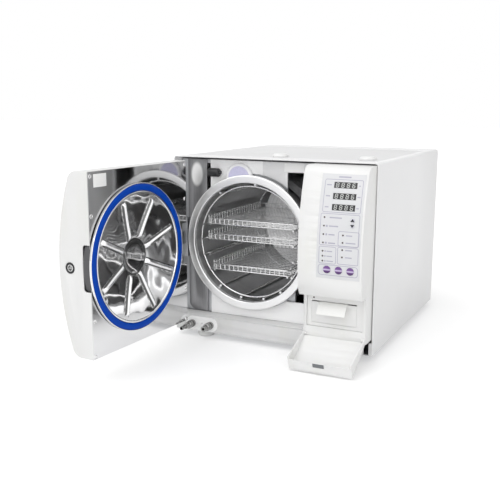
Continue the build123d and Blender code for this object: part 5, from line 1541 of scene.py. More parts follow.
@dataclass(frozen=True)
class Pressing:
    """The pressure plate's dished sheet and its ribs; millimetres and degrees."""

    radius: float = 120.6
    hub: float = 34.0
    depth: float = 13.5
    crest: float = 1.6
    sheet: float = 1.2
    ribs: int = 8
    rib_width: float = 6.4
    rib_height: float = 6.5
    rib_reach: Pair = (37.0, 114.0)
    first_rib: float = 22.5
    rows: int = 84
    steps: int = 480

    def values(self, centre: Triple) -> dict[str, Any]:
        """What the dish's recipe is given.

        Args:
            centre: The middle of the plate's rim face.

        Returns:
            The values by the names of the recipe's inputs.
        """
        return {
            "Radius": self.radius * MM,
            "Hub": self.hub * MM,
            "Depth": self.depth * MM,
            "Crest": (centre[1] + self.crest) * MM,
            "Ribs": self.ribs,
            "Rib width": self.rib_width * MM,
            "Rib height": self.rib_height * MM,
            "Rib start": self.rib_reach[0] * MM,
            "Rib end": self.rib_reach[1] * MM,
            "First rib": math.radians(self.first_rib),
            "Rows": self.rows,
            "Steps": self.steps,
            "Centre": mm(centre[0], 0.0, centre[2]),
        }


@dataclass
class Door:
    """The bowed door with its pressure plate and seal, made shut and swung open; millimetres."""

    hinge: Triple = (-213.5, -295.6, 0.0)
    angle: float = -93.1
    left: float = -219.5
    right: float = 80.0
    panel_y: float = -251.0
    rim_y: float = -247.7
    pressing: Pressing = Pressing()
    rim: Profile = (
        (119.4, 0.2), (120.4, 1.6), (121.2, 3.2), (124.9, 3.2), (124.9, 0.4), (125.8, 0.0),
        (138.2, 0.0), (138.7, 3.4), (140.0, 3.4), (140.0, -1.2), (136.0, -2.2), (136.0, -3.0),
        (119.4, -3.0),
    )
    skirt: Profile = ((134.5, -2.9), (136.0, -2.9), (136.0, -18.0), (134.5, -18.0))
    pin: Profile = ((0.0, -12.0), (6.0, -12.0), (6.0, -27.0), (0.0, -27.0))
    ring: Profile = (
        (125.9, 0.0), (125.9, 3.4), (127.4, 4.5), (131.0, 5.0), (133.5, 5.0), (136.8, 4.5),
        (138.1, 3.4), (138.1, 0.0),
    )
    lock_place: Triple = (80.8, -298.5, 199.0)
    collar: Profile = ((6.4, -2.2), (7.0, 0.0), (9.6, 0.0), (10.0, -0.5), (10.0, -19.8), (6.4, -19.8))
    cup: Profile = ((4.9, -1.0), (6.3, -1.0), (6.3, -18.8), (0.0, -18.8), (0.0, -17.3), (4.9, -17.3))
    screw_inset: float = 5.8
    screw_z: tuple[float, ...] = (363.0, 294.0, 106.0, 40.0)
    label_x: Pair = (31.0, 65.5)
    label_z: Pair = (343.0, 366.0)
    chamber: Chamber = field(default_factory=Chamber)

    def swung(self, mesh: bpy.types.Mesh) -> bpy.types.Mesh:
        """A mesh turned from the shut door's place to the open one's."""
        mesh.transform(about(self.hinge, self.angle, "Z"))
        return mesh

    def build(self, shop: Workshop) -> None:
        """Makes the door's pieces.

        Args:
            shop: Makes and places the pieces.
        """
        shop.softened("door_shell", "door_paint", 1.3, 50.0, 3)
        shop.smoothed("door_panel", "mirror_sheet", 30.0)
        shop.dress("zinc_sheet", "crossbar", "hinge_block")
        shop.dress("bright_wire", "hinge_pin")
        self.plate(shop)
        self.seal(shop)
        self.screws(shop)
        self.lock(shop)
        self.label(shop)

    def turned(self, profile: Profile, ease: float, segments: int, steps: int = 4) -> bpy.types.Mesh:
        """A ring about the plate's axis, swung open, from an outline measured off the rim's face."""
        outline = eased(shifted(profile, self.rim_y), ease, True, steps)
        return self.swung(lathe(outline, (self.chamber.x, 0.0, self.chamber.z), Axis.Y, segments))

    def plate(self, shop: Workshop) -> None:
        """Pressed dish with its ribs, turned rim, skirt and guide pin.

        Args:
            shop: Makes and places the pieces.
        """
        axis = (self.chamber.x, 0.0, self.chamber.z)
        values = self.pressing.values((self.chamber.x, self.rim_y, self.chamber.z))
        values["Finish"] = shop.finish("mirror_plate")
        sheet = shop.grown(dots([(0.0, 0.0, 0.0)]), pressed_dish_recipe(), values)
        side = -1.0 if self.faces_front(sheet) else 1.0
        dish = shop.modified(sheet, "SOLIDIFY", {"thickness": self.pressing.sheet * MM, "offset": side})
        pin = lathe(eased(shifted(self.pin, self.rim_y), 0.8, False), axis, Axis.Y, 48, False)
        mesh = joined([self.swung(dish), self.turned(self.rim, 0.8, 240, 3), self.swung(pin)])
        shop.piece("pressure_dish", mesh, "mirror_plate", "door_plate", ("door_plate",), 45.0)
        shop.piece("dish_wall", self.turned(self.skirt, 0.4, 180), "dull_steel", "door_plate")

    def faces_front(self, mesh: bpy.types.Mesh) -> bool:
        """Whether the dish's faces look along +Y, as they do on the shut door."""
        return sum(face.normal.y for face in mesh.polygons) > 0

    def seal(self, shop: Workshop) -> None:
        """Silicone ring with a low crowned face."""
        ring = self.turned(self.ring, 1.2, 240)
        shop.piece("seal_ring", ring, "blue_silicone", "door_seal", ("door_seal",), 60.0)

    def screws(self, shop: Workshop) -> None:
        """Pan-head screws down both sides of the inner panel.

        Args:
            shop: Makes and places the pieces.
        """
        rows = (self.left + self.screw_inset, self.right - self.screw_inset)
        places = [(x, self.panel_y, z) for x in rows for z in self.screw_z]
        mesh = self.swung(shop.copies(pan_head(4.0, 1.6), places, "bright_wire"))
        shop.piece("panel_screw_heads", mesh, "bright_wire", "panel_screws", ("panel_screws",))

    def lock(self, shop: Workshop) -> None:
        """Steel cup in a black collar on the free edge.

        Args:
            shop: Makes and places the pieces.
        """
        face, y, z = self.lock_place
        ring = lathe(eased(shifted(self.collar, face), 0.5), (0.0, y, z), Axis.X, 64)
        shop.piece("lock_collar", self.swung(ring), "black_moulding", "lock_cup", ("lock_cup",))
        liner = lathe(eased(shifted(self.cup, face), 0.4, False), (0.0, y, z), Axis.X, 64, False)
        shop.piece("lock_liner", self.swung(liner), "bright_wire", "lock_cup")

    def label(self, shop: Workshop) -> None:
        """Bare sticker in the panel's upper free corner.

        Args:
            shop: Makes and places the pieces.
        """
        low = (self.label_x[0], self.panel_y + 0.05, self.label_z[0])
        high = (self.label_x[1], self.panel_y + 0.35, self.label_z[1])
        shop.piece("door_label", self.swung(slab(low, high, 0.1)), "label_white", "door_panel")


def pan_head(radius: float, rise: float) -> bpy.types.Mesh:
    """A pan-head screw about the origin, its head towards +Y, with a round recess.

    Args:
        radius: The head's radius.
        rise: The head's height.

    Returns:
        The mesh.
    """
    shares = ((0.0, 0.0), (1.0, 0.0), (1.0, 0.35), (0.8, 0.85), (0.4, 1.0), (0.0, 1.0))
    dome = [(radius * across, rise * up) for across, up in shares]
    head = lathe(dome, (0.0, 0.0, 0.0), Axis.Y, 20, False)
    bm = bmesh.new()
    bm.from_mesh(head)
    bpy.data.meshes.remove(head)
    for vertex in bm.verts:
        x, z = vertex.co.x / MM, vertex.co.z / MM
        if math.hypot(x, z) < radius * 0.45 and vertex.co.y > rise * 0.9 * MM:
            vertex.co.y -= rise * 0.35 * MM
    return sealed(bm)


@dataclass
class Bow:
    """The bowed front that the door and the column share; millimetres."""

    front: float = -250.0
    depth: float = 74.0
    radius: float = 480.0
    middle: float = 200.0

    def y(self, z: float) -> float:
        """Where the surface lies at a height."""
        chord = math.sqrt(self.radius**2 - (z - self.middle) ** 2)
        return self.front - self.depth + self.radius - chord

    def place(self, x: float, z: float, outward: float = 0.0) -> Matrix:
        """A frame on the surface, its -Y pointing out.

        Args:
            x: Place across.
            z: Height.
            outward: How far it stands off the surface.

        Returns:
            The matrix, in metres.
        """
        lean = math.asin((z - self.middle) / self.radius)
        turn = Matrix.Rotation(-lean, 4, "X")
        foot = Matrix.Translation(mm(x, self.y(z), z))
        return foot @ turn @ Matrix.Translation(mm(0.0, -outward, 0.0))


class Segment(Enum):
    """The seven bars of a digit: ends on a grid one wide and two high."""

    TOP = ((0, 2), (1, 2))
    UPPER_RIGHT = ((1, 2), (1, 1))
    LOWER_RIGHT = ((1, 1), (1, 0))
    BOTTOM = ((0, 0), (1, 0))
    LOWER_LEFT = ((0, 1), (0, 0))
    UPPER_LEFT = ((0, 2), (0, 1))
    MIDDLE = ((0, 1), (1, 1))


LIT = {
    "6": tuple(segment for segment in Segment if segment is not Segment.UPPER_RIGHT),
    "8": tuple(Segment),
}


@dataclass
class Column:
    """Control column: housing, keypad, displays, keys, printer and its flap; millimetres."""

    bow: Bow = field(default_factory=Bow)
    film: float = 0.6
    display_x: float = 178.0
    display_z: tuple[float, ...] = (339.0, 319.0, 299.0)
    readings: tuple[str, ...] = ("8886", "8886", "8886")
    digit_width: float = 4.6
    digit_height: float = 8.0
    digit_pitch: float = 10.4
    bar_half: float = 0.62
    bar_gap: float = 0.25
    slant: float = 0.1
    lit_rise: float = 0.16
    unlit_rise: float = 0.08
    arrow_x: float = 198.0
    arrow_z: Pair = (277.0, 267.0)
    arrow_half: float = 3.9
    arrow_foot: float = -2.3
    arrow_tip: float = 3.1
    strip_x: Pair = (126.0, 183.0)
    strip_route: Profile = (
        (-275.5, 106.3), (-280.0, 107.9), (-284.4, 109.2), (-288.0, 109.1), (-292.0, 107.4),
        (-296.5, 104.0), (-300.5, 99.6), (-303.9, 94.6), (-306.8, 89.2),
    )
    lamp_place: Triple = (112.8, 0.0, 116.0)
    lamp: Profile = ((0.0, -286.3), (1.0, -286.1), (1.5, -285.6), (1.6, -284.8), (0.0, -284.8))

    def build(self, shop: Workshop) -> None:
        """Makes the column and what it carries.

        Args:
            shop: Makes and places the pieces.
        """
        shop.softened("column_housing", "white_moulding", 0.8, 40.0, 2)
        shop.smoothed("keypad_film", "keypad_print", 25.0)
        shop.dress("display_black", "led_displays")
        shop.smoothed("indicator_leds", "lamp_dark", 40.0)
        for node in ("key_left", "key_middle", "key_right"):
            shop.smoothed(node, "key_purple", 50.0)
        for node in ("key_up", "key_down"):
            shop.smoothed(node, "key_pale", 50.0)
        self.digits(shop)
        self.arrows(shop)
        shop.dress("circuit_board", "key_board")
        shop.dress("bright_wire", "lock_bolt", "flap_pins")
        shop.dress("black_moulding", "lock_motor")
        self.printer(shop)

    def digits(self, shop: Workshop) -> None:
        """Lit bars of every digit, and the dark bars behind them.

        Args:
            shop: Makes and places the pieces.
        """
        lit: list[bpy.types.Mesh] = []
        unlit: list[bpy.types.Mesh] = []
        for z, reading in zip(self.display_z, self.readings):
            place = self.bow.place(self.display_x, z, self.film)
            for number, figure in enumerate(reading):
                middle = (number - (len(reading) - 1) / 2) * self.digit_pitch
                for segment in Segment:
                    shown = segment in LIT[figure]
                    mesh = self.bar(segment, middle, self.lit_rise if shown else self.unlit_rise)
                    mesh.transform(place)
                    (lit if shown else unlit).append(mesh)
        shop.piece("digits_lit", joined(lit), "digit_pale", "led_displays")
        shop.piece("digits_unlit", joined(unlit), "digit_dark", "led_displays")

    def bar(self, segment: Segment, middle: float, proud: float) -> bpy.types.Mesh:
        """One pointed bar of a digit, about the display's middle.

        Args:
            segment: Which bar.
            middle: The digit's middle across.
            proud: How far it stands out of the window.

        Returns:
            The mesh.
        """
        half, gap = self.bar_half, self.bar_gap
        width, height = self.digit_width, self.digit_height
        (x0, z0), (x1, z1) = (
            (middle + (x - 0.5) * width, (z / 2 - 0.5) * height) for x, z in segment.value
        )
        level = z0 == z1
        low, high = sorted((x0, x1) if level else (z0, z1))
        low, high, line = low + gap, high - gap, z0 if level else x0
        outline = [(low, line), (low + half, line + half), (high - half, line + half)]
        outline += [(high, line), (high - half, line - half), (low + half, line - half)]
        if not level:
            outline = [(across, up) for up, across in outline]
        slanted = [(x + z * self.slant, z) for x, z in outline]
        return prism(slanted, -proud, 0.05, Axis.Y)

    def arrows(self, shop: Workshop) -> None:
        """A raised triangle on each of the two arrow keys.

        Args:
            shop: Makes and places the pieces.
        """
        for node, z, way in (("key_up", self.arrow_z[0], 1), ("key_down", self.arrow_z[1], -1)):
            foot = self.arrow_foot * way
            outline = [(-self.arrow_half, foot), (self.arrow_half, foot), (0.0, self.arrow_tip * way)]
            mesh = prism(outline, -2.0, -1.2, Axis.Y, 0.06)
            mesh.transform(self.bow.place(self.arrow_x, z, self.film))
            shop.piece(f"{node}_mark", mesh, "black_moulding", node)

    def printer(self, shop: Workshop) -> None:
        """Front plate, lid, paper, roller and the flap with its catch.

        Args:
            shop: Makes and places the pieces.
        """
        shop.smoothed("printer_body", "white_moulding", 30.0)
        shop.softened("printer_lid", "white_moulding", 0.35, 40.0, 2)
        shop.dress("black_rubber", "platen_roller")
        shop.dress("paper", "paper_roll")
        upper = [(y + 0.12, z + 0.3) for y, z in reversed(self.strip_route)]
        strip = prism([*self.strip_route, *upper], *self.strip_x, Axis.X)
        shop.piece("paper_curl", strip, "paper", "paper_strip", ("paper_strip",), 60.0)
        lamp = lathe(self.lamp, self.lamp_place, Axis.Y, 24, False)
        shop.piece("printer_lamp", lamp, "lamp_dark", "printer_body")
        shop.softened("printer_flap", "white_moulding", 0.8, 40.0, 2)
        shop.softened("flap_catch", "grey_moulding", 0.5, 40.0, 2)


@dataclass
class Case:
    """Cover, front plates, feet, couplings and the rear; millimetres."""

    foot_x: float = 160.0
    foot_y: float = 227.5
    foot_radius: float = 18.5
    foot_height: float = 13.0
    label_low: Triple = (21.0, -225.35, 351.0)
    label_high: Triple = (64.0, -225.02, 367.6)
    drain_x: Pair = (-180.0, -136.0)
    drain_z: float = 17.0
    drain_face: float = -252.5
    drain_screw: Pair = (-158.0, 19.0)
    coupling: Profile = (
        (3.0, 17.0), (5.0, 17.0), (5.0, 0.0), (8.0, 0.0), (8.0, -5.0), (7.2, -5.8), (7.2, -8.4),
        (8.0, -9.2), (8.0, -19.0), (6.8, -20.0), (6.0, -20.0), (6.0, -26.0), (5.2, -27.0),
        (5.2, -29.0), (6.0, -30.0), (6.0, -32.0),
    )
    nozzle: Profile = (
        (4.5, -32.0), (4.1, -35.0), (4.5, -38.0), (4.1, -41.0), (4.5, -44.0), (3.9, -48.0),
        (3.0, -48.0),
    )
    socket: Profile = ((5.4, -32.0), (3.0, -32.0))
    collar: Profile = ((7.1, -8.4), (7.1, -5.8), (8.2, -5.9), (8.2, -8.3))
    teeth: int = 30
    rear: float = 250.0
    rear_screw_x: float = 212.0
    rear_screw_z: tuple[float, ...] = (12.0, 128.0, 248.0, 362.0)
    top_screws: tuple[float, ...] = (-106.0, 0.0, 106.0)
    low_screws: tuple[float, ...] = (-106.0, 0.0, 90.0)
    row_z: Pair = (368.0, 8.0)
    fan: Pair = (140.0, 290.0)
    guard_radii: tuple[float, ...] = (8.0, 15.0, 22.0, 29.0, 36.0, 43.0)
    guard_wire: float = 0.8
    guard_screw: float = 36.1
    rocker: Triple = (134.0, 245.0, 60.0)
    rocker_lean: float = 7.0

    def build(self, shop: Workshop) -> None:
        """Makes the case and what is fixed to it.

        Args:
            shop: Makes and places the pieces.
        """
        shop.softened("outer_cover", "cover_paint", 0.5, 40.0, 2)
        shop.softened("top_lid", "lid_paint", 0.8, 40.0, 2)
        shop.smoothed("lid_grips", "white_moulding", 50.0)
        shop.softened("base_skirt", "skirt_white", 1.0, 40.0, 2)
        shop.softened("drip_ledge", "skirt_white", 0.8, 25.0, 2)
        shop.softened("fascia", "fascia_white", 0.5, 40.0, 2)
        shop.softened("hinge_post", "post_steel", 0.4, 40.0, 2)
        shop.softened("air_filter", "filter_face", 0.6, 40.0, 2)
        shop.softened("door_switch", "black_moulding", 0.6, 40.0, 2)
        shop.dress("zinc_sheet", "base_tray", "front_frame")
        shop.dress("tank_white", "water_tanks")
        shop.dress("boiler_steel", "steam_generator")
        shop.dress("cast_metal", "vacuum_pump")
        self.labels(shop)
        self.feet(shop)
        self.drain(shop)
        self.back(shop)

    def labels(self, shop: Workshop) -> None:
        """Bare sticker on the fascia, above the latch slot."""
        shop.piece("fascia_label", slab(self.label_low, self.label_high, 0.1), "label_white", "fascia")

    def feet(self, shop: Workshop) -> None:
        """Four turned feet with a stepped side and a hollow sole.

        Args:
            shop: Makes and places the pieces.
        """
        r, h = self.foot_radius, self.foot_height
        profile = [(0.0, 0.0), (r - 1.5, 0.0), (r - 0.6, -4.0), (r, -4.6), (r, -h + 2.0)]
        profile += [(r - 2.0, -h), (r * 0.6, -h), (r * 0.55, -h + 1.5), (0.0, -h + 1.5)]
        foot = lathe(eased(profile, 1.0, False), (0.0, 0.0, 0.0), Axis.Z, 64, False)
        places = [(sx * self.foot_x, sy * self.foot_y, 0.0) for sx in (-1, 1) for sy in (-1, 1)]
        shop.piece("foot_pads", shop.copies(foot, places, "foot_grey"), "foot_grey", "feet", ("feet",))

    def drain(self, shop: Workshop) -> None:
        """The drain plate, its screw and the two push-fit couplings.

        Args:
            shop: Makes and places the pieces.
        """
        shop.softened("drain_plate", "fascia_white", 0.6, 40.0, 2)
        y, z = self.drain_face, self.drain_z
        head = pan_head(2.6, 1.1)
        head.transform(Matrix.Rotation(math.pi, 4, "Z"))
        screw = shop.copies(head, [(self.drain_screw[0], y, self.drain_screw[1])], "bright_wire")
        shop.piece("drain_screw", screw, "bright_wire", "drain_plate")
        metal = []
        for x, tip in zip(self.drain_x, (self.nozzle, self.socket)):
            outline = eased(shifted(self.coupling + tip, y), 0.35, True, 2)
            metal.append(lathe(outline, (x, 0.0, z), Axis.Y, 48))
        for x in self.drain_x:
            tooth = slab((-0.35, y - 18.2, 7.8), (0.35, y - 10.4, 8.15), 0.1)
            metal.append(shop.ring(tooth, self.teeth, (x, 0.0, z), (0.0, 1.0, 0.0), "nickel"))
        shop.piece("couplings", joined(metal), "nickel", "drain_valves", ("drain_valves",))
        outline = eased(shifted(self.collar, y), 0.4)
        rings = [lathe(outline, (x, 0.0, z), Axis.Y, 48) for x in self.drain_x]
        shop.piece("coupling_rings", joined(rings), "black_rubber", "drain_valves")

    def back(self, shop: Workshop) -> None:
        """Rear panel with its screws, the fan and its guard, the power inlet and the rocker.

        Args:
            shop: Makes and places the pieces.
        """
        shop.smoothed("rear_panel", "cover_paint", 30.0)
        columns = (-self.rear_screw_x, self.rear_screw_x)
        places = [(x, self.rear, z) for x in columns for z in self.rear_screw_z]
        for row, z in zip((self.top_screws, self.low_screws), self.row_z):
            places += [(x, self.rear, z) for x in row]
        screws = shop.copies(pan_head(3.6, 1.5), places, "bright_wire")
        shop.piece("rear_screws", screws, "bright_wire", "rear_panel")
        shop.dress("black_moulding", "fan_frame", "fan_rotor")
        x, z = self.fan
        rings = [(circled((x, self.rear + 1.2, z), radius, 64), True) for radius in self.guard_radii]
        guard = [shop.wire(rings, self.guard_wire, "bright_wire", 8)]
        spoke = slab((8.0, self.rear + 0.1, -0.8), (51.0, self.rear + 0.9, 0.8), 0.2)
        guard.append(shop.ring(spoke, 4, (x, 0.0, z), (0.0, 1.0, 0.0), "bright_wire", 45.0))
        shop.piece("fan_guard", joined(guard), "bright_wire", "fan_frame")
        ways = [(sx * self.guard_screw, sz * self.guard_screw) for sx in (-1, 1) for sz in (-1, 1)]
        places = [(x + across, self.rear + 0.9, z + up) for across, up in ways]
        screws = shop.copies(pan_head(2.8, 1.2), places, "bright_wire")
        shop.piece("guard_screws", screws, "bright_wire", "fan_frame")
        shop.softened("mains_inlet", "black_moulding", 0.5, 40.0, 2)
        shop.softened("mains_rocker", "black_moulding", 0.4, 40.0, 2)
        self.rocker_marks(shop)

    def rocker_marks(self, shop: Workshop) -> None:
        """The plain on and off marks on the rocker's two ends.

        Args:
            shop: Makes and places the pieces.
        """
        ring = lathe([(1.2, 7.0), (1.7, 7.0), (1.7, 7.12), (1.2, 7.12)], (0.0, 0.0, -5.6), Axis.Y, 32)
        line = slab((-0.25, 7.0, 3.8), (0.25, 7.12, 7.4))
        mesh = joined([ring, line])
        lean = Matrix.Rotation(math.radians(self.rocker_lean), 4, "X")
        mesh.transform(Matrix.Translation(mm(*self.rocker)) @ lean)
        shop.piece("rocker_marks", mesh, "label_white", "mains_rocker")


WHITE = (0.82, 0.82, 0.815)

# The keypad's line frames, then its plain bars and squares.
KEY_FRAMES = (
    Frame(138.0, 211.0, 290.0, 349.0),
    Frame(136.0, 211.0, 229.0, 287.0),
    Frame(172.5, 212.0, 229.4, 256.0),
    Frame(136.0, 169.0, 194.5, 226.0),
    Frame(172.5, 212.0, 195.5, 226.8),
    Frame(135.0, 212.0, 172.5, 192.0, 6.0),
)
PLAIN_BARS = (
    Frame(141.5, 151.0, 338.0, 340.0, 0.6),
    Frame(141.5, 150.0, 318.0, 320.0, 0.6),
    Frame(141.5, 149.0, 298.0, 300.0, 0.6),
    Frame(203.5, 206.5, 338.0, 340.0, 0.6),
    Frame(202.5, 208.5, 318.0, 320.0, 0.6),
    Frame(202.5, 207.5, 298.0, 300.0, 0.6),
    Frame(153.0, 177.0, 279.0, 281.2, 0.6),
    Frame(153.0, 171.0, 263.3, 265.5, 0.6),
    Frame(153.0, 165.0, 247.7, 249.9, 0.6),
    Frame(153.0, 167.0, 232.0, 234.2, 0.6),
    Frame(151.0, 162.0, 216.6, 218.6, 0.6),
    Frame(151.0, 162.0, 207.4, 209.2, 0.6),
    Frame(151.0, 164.0, 198.2, 200.0, 0.6),
    Frame(187.0, 199.0, 248.0, 250.0, 0.6),
    Frame(187.0, 206.0, 234.5, 236.5, 0.6),
    Frame(187.0, 200.0, 221.0, 223.0, 0.6),
    Frame(187.0, 200.0, 207.5, 209.5, 0.6),
    Frame(163.0, 187.0, 352.5, 355.0, 0.8),
    *(Frame(147.0, 150.6, z - 1.8, z + 1.8, 1.2) for z in (264.4, 248.8, 233.2)),
    *(Frame(146.6, 149.4, z - 1.4, z + 1.4, 1.0) for z in (217.6, 208.3, 199.0)),
)
FINISHES: tuple[Finish, ...] = (
    Moulding("white_moulding", WHITE, 0.36),
    # The fascia's greyer side is painted shade.
    PaintedShadeMoulding("fascia_white", (0.97, 0.97, 0.97), 0.36, dust=0.0),
    Moulding("skirt_white", (0.73, 0.73, 0.73), 0.38),
    Moulding("door_paint", (0.78, 0.78, 0.775), 0.3, coat=0.3),
    Enamel("cover_paint", (0.84, 0.84, 0.845), 0.42),
    Enamel("lid_paint", (0.70, 0.70, 0.705), 0.4),
    Moulding("black_moulding", (0.018, 0.018, 0.02), 0.38, dust=0.0, mottle=0.2),
    Moulding("grey_moulding", (0.17, 0.18, 0.19), 0.42, mottle=0.1),
    Moulding("foot_grey", (0.78, 0.78, 0.77), 0.45, mottle=0.06),
    Moulding("tank_white", (0.76, 0.78, 0.8), 0.3, mottle=0.06),
    Moulding("label_white", (0.94, 0.94, 0.93), 0.5, grain=0.00001, dust=0.0),
    Moulding("key_pale", (0.72, 0.71, 0.82), 0.4),
    Moulding("display_black", (0.022, 0.022, 0.025), 0.16, grain=0.000003, dust=0.0, coat=0.6),
    Moulding("digit_pale", (0.62, 0.64, 0.62), 0.35, dust=0.0),
    Moulding("digit_dark", (0.12, 0.12, 0.125), 0.35, dust=0.0),
    Moulding("lamp_dark", (0.05, 0.02, 0.02), 0.12, dust=0.0, coat=0.8),
    RimmedDisc("filter_face", (0.85, 0.85, 0.86), 0.4),
    Board("circuit_board", (0.02, 0.16, 0.06), 0.3),
    KeyCap("key_purple", (0.17, 0.075, 0.27), 0.32),
    PrintedFilm(
        "keypad_print",
        (0.68, 0.69, 0.7),
        0.42,
        (0.3, 0.28, 0.4),
        (0.7, 0.7, 0.72),
        frames=KEY_FRAMES,
        bars=PLAIN_BARS,
    ),
    Brushed("satin_ring", (0.86, 0.86, 0.86), 0.4, Grain.ACROSS, streak=0.06, stain=0.04),
    Brushed("chamber_steel", (0.7, 0.7, 0.705), 0.34, Grain.ROUND_Y, streak=0.22, stain=0.2),
    # The post's pale oval is a painted reflection.
    ReflectionSpotSteel("post_steel", (0.3, 0.3, 0.31), 0.36, Grain.UPRIGHT, streak=0.15),
    Brushed("dull_steel", (0.13, 0.13, 0.135), 0.5, Grain.ACROSS, streak=0.1),
    Brushed("zinc_sheet", (0.56, 0.57, 0.59), 0.42, Grain.ACROSS, streak=0.1, stain=0.3),
    Brushed("boiler_steel", (0.6, 0.6, 0.6), 0.34, Grain.UPRIGHT),
    Brushed("cast_metal", (0.5, 0.5, 0.51), 0.55, Grain.ALONG, streak=0.1, stain=0.4),
    # The door panel's paler foot is a painted reflection.
    SheetMirror("mirror_sheet", (0.44, 0.44, 0.445), 0.05, 0.00003, 4.0),
    # The plate's dark bands beside the ribs and round the hub are painted reflections.
    PressedMirror("mirror_plate", (0.86, 0.86, 0.865), 0.035, 0.0012, 15.0, 0.03),
    Polished("rack_steel", (0.8, 0.8, 0.8), 0.26, wave=0.00002, wave_scale=120.0),
    Polished("bright_wire", (0.74, 0.74, 0.74), 0.14, wave=0.00002, wave_scale=120.0),
    Polished("nickel", (0.33, 0.33, 0.325), 0.16, wave=0.00003, wave_scale=90.0),
    Rubbery("blue_silicone", (0.0, 0.055, 0.42), 0.42, (0.0, 0.1, 0.52), 0.12, 0.0, 0.1),
    Rubbery("black_rubber", (0.02, 0.02, 0.02), 0.6, (0.12, 0.12, 0.12), 0.3),
    Fibrous("paper", (0.88, 0.88, 0.86), 0.75, 0.00002, 900.0, 0.02),
    Fibrous("wool", (0.3, 0.3, 0.31), 0.9, 0.0006, 160.0, 0.15),
)


@dataclass(frozen=True)
class Sun:
    """One broad soft sun: its share of the key's strength, its spread in degrees and its aim."""

    name: str
    share: float
    spread: float
    aim: Triple


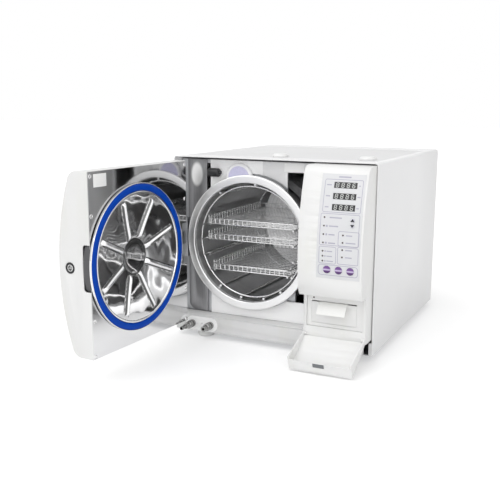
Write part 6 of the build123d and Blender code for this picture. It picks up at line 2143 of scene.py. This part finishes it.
@dataclass
class Studio:
    """Pale floor, plain soft light and the camera."""

    eye: Triple = (0.6305, -1.6313, 0.4885)
    yaw: float = 26.0
    pitch: float = 11.0
    roll: float = 0.2
    focal_pixels: float = 761.2
    picture_pixels: float = 500.0
    sensor: float = 36.0
    floor_z: float = -0.0132
    floor_reach: float = 14.0
    floor_glow: float = 0.3
    sky: float = 0.56
    front_shade: float = 0.15
    sun: float = 1.25
    suns: tuple[Sun, ...] = (
        Sun("key", 1.0, 60.0, (0.45, 0.55, -0.95)),
        Sun("fill", 0.48, 90.0, (-0.8, 0.5, -0.5)),
        Sun("front", 0.46, 50.0, (-0.3, 1.0, -0.14)),
    )

    def build(self) -> None:
        """Sets the whole stage."""
        self.camera()
        self.world()
        self.floor()
        self.lights()
        bpy.context.scene.view_settings.view_transform = "Standard"

    def camera(self) -> None:
        """The camera and where it looks from."""
        data = bpy.data.cameras.new("camera")
        data.sensor_width = self.sensor
        data.sensor_fit = "HORIZONTAL"
        data.lens = self.focal_pixels / self.picture_pixels * self.sensor
        data.clip_end = 50.0
        camera = bpy.data.objects.new("camera", data)
        camera.location = self.eye
        yaw = Matrix.Rotation(math.radians(self.yaw), 4, "Z")
        pitch = Matrix.Rotation(math.radians(90.0 - self.pitch), 4, "X")
        roll = Matrix.Rotation(math.radians(self.roll), 4, "Z")
        camera.rotation_euler = (yaw @ pitch @ roll).to_euler()
        bpy.context.scene.collection.objects.link(camera)
        bpy.context.scene.camera = camera

    def seen(self, graph: Graph) -> Signal:
        """Finds the rays that show the backdrop: camera, glossy and through glass.

        Args:
            graph: The tree that asks.

        Returns:
            1 for such a ray, else 0.
        """
        path = graph.node("ShaderNodeLightPath")
        straight = path.output("Is Camera Ray").most(path.output("Is Glossy Ray"))
        return straight.most(path.output("Is Transmission Ray"))

    def world(self) -> None:
        """Even grey light, white where it is seen, a little darker in front for reflections."""
        world = bpy.data.worlds.new("studio")
        world.use_nodes = True
        world.node_tree.nodes.clear()
        graph = Graph(world.node_tree)
        bpy.context.scene.world = world
        _, y, z = graph.parts(graph.node("ShaderNodeTexCoord", {}, {}, "Generated"))
        gloss = graph.node("ShaderNodeLightPath").output("Is Glossy Ray")
        front = (y * -1.0).smooth(-0.1, 0.45) * z.smooth(-0.2, 0.75, 1.0, 0.0)
        shade = 1.0 - gloss * front * self.front_shade
        plain = graph.node("ShaderNodeBackground", {}, {0: (1.0, 1.0, 1.0, 1.0), 1: self.sky})
        shown = graph.node("ShaderNodeBackground", {}, {0: (1.0, 1.0, 1.0, 1.0), 1: shade})
        mixed = graph.node("ShaderNodeMixShader", {}, {0: self.seen(graph), 1: plain, 2: shown})
        graph.node("ShaderNodeOutputWorld", {}, {0: mixed})

    def floor(self) -> None:
        """Large pale floor that keeps the object's shadow."""
        bm = bmesh.new()
        bmesh.ops.create_grid(bm, x_segments=8, y_segments=8, size=self.floor_reach)
        mesh = bpy.data.meshes.new("floor")
        bm.to_mesh(mesh)
        bm.free()
        mesh.transform(Matrix.Translation((0.0, 0.0, self.floor_z)))
        floor = bpy.data.objects.new("floor", mesh)
        bpy.context.scene.collection.objects.link(floor)
        graph = ShaderGraph("floor_white")
        cloud = graph.noise(graph.point(), 3.0, 2.0)
        tone = graph.mixed(cloud, (0.84, 0.84, 0.84), (0.86, 0.86, 0.86))
        matt = graph.node("ShaderNodeBsdfDiffuse", {}, {0: tone})
        shown = self.seen(graph) * self.floor_glow
        glow = graph.node("ShaderNodeEmission", {}, {0: (1.0, 1.0, 1.0, 1.0), 1: shown})
        both = graph.node("ShaderNodeAddShader", {}, {0: matt, 1: glow})
        graph.node("ShaderNodeOutputMaterial", {}, {0: both})
        mesh.materials.append(graph.material)

    def lights(self) -> None:
        """The three broad suns: from the upper left, from the right and from the front."""
        for sun in self.suns:
            data = bpy.data.lights.new(sun.name, "SUN")
            data.energy = self.sun * sun.share
            data.angle = math.radians(sun.spread)
            lamp = bpy.data.objects.new(sun.name, data)
            lamp.rotation_euler = Vector(sun.aim).to_track_quat("-Z", "Y").to_euler()
            bpy.context.scene.collection.objects.link(lamp)


def corners(bounds: Any) -> list[list[float]]:
    """The two corners of a box as plain numbers."""
    return [[float(part) for part in corner] for corner in bounds]


def main() -> None:
    """Builds every sub-assembly in order and dresses the stage."""
    logging.basicConfig(level=logging.INFO, format="%(name)s %(message)s")
    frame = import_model()
    studio = Studio()
    studio.build()
    shop = Workshop(frame, FINISHES)
    for assembly in (Case(), Chamber(), Door(), Column()):
        LOG.info("building %s", type(assembly).__name__)
        assembly.build(shop)


if __name__ == "__main__":
    main()
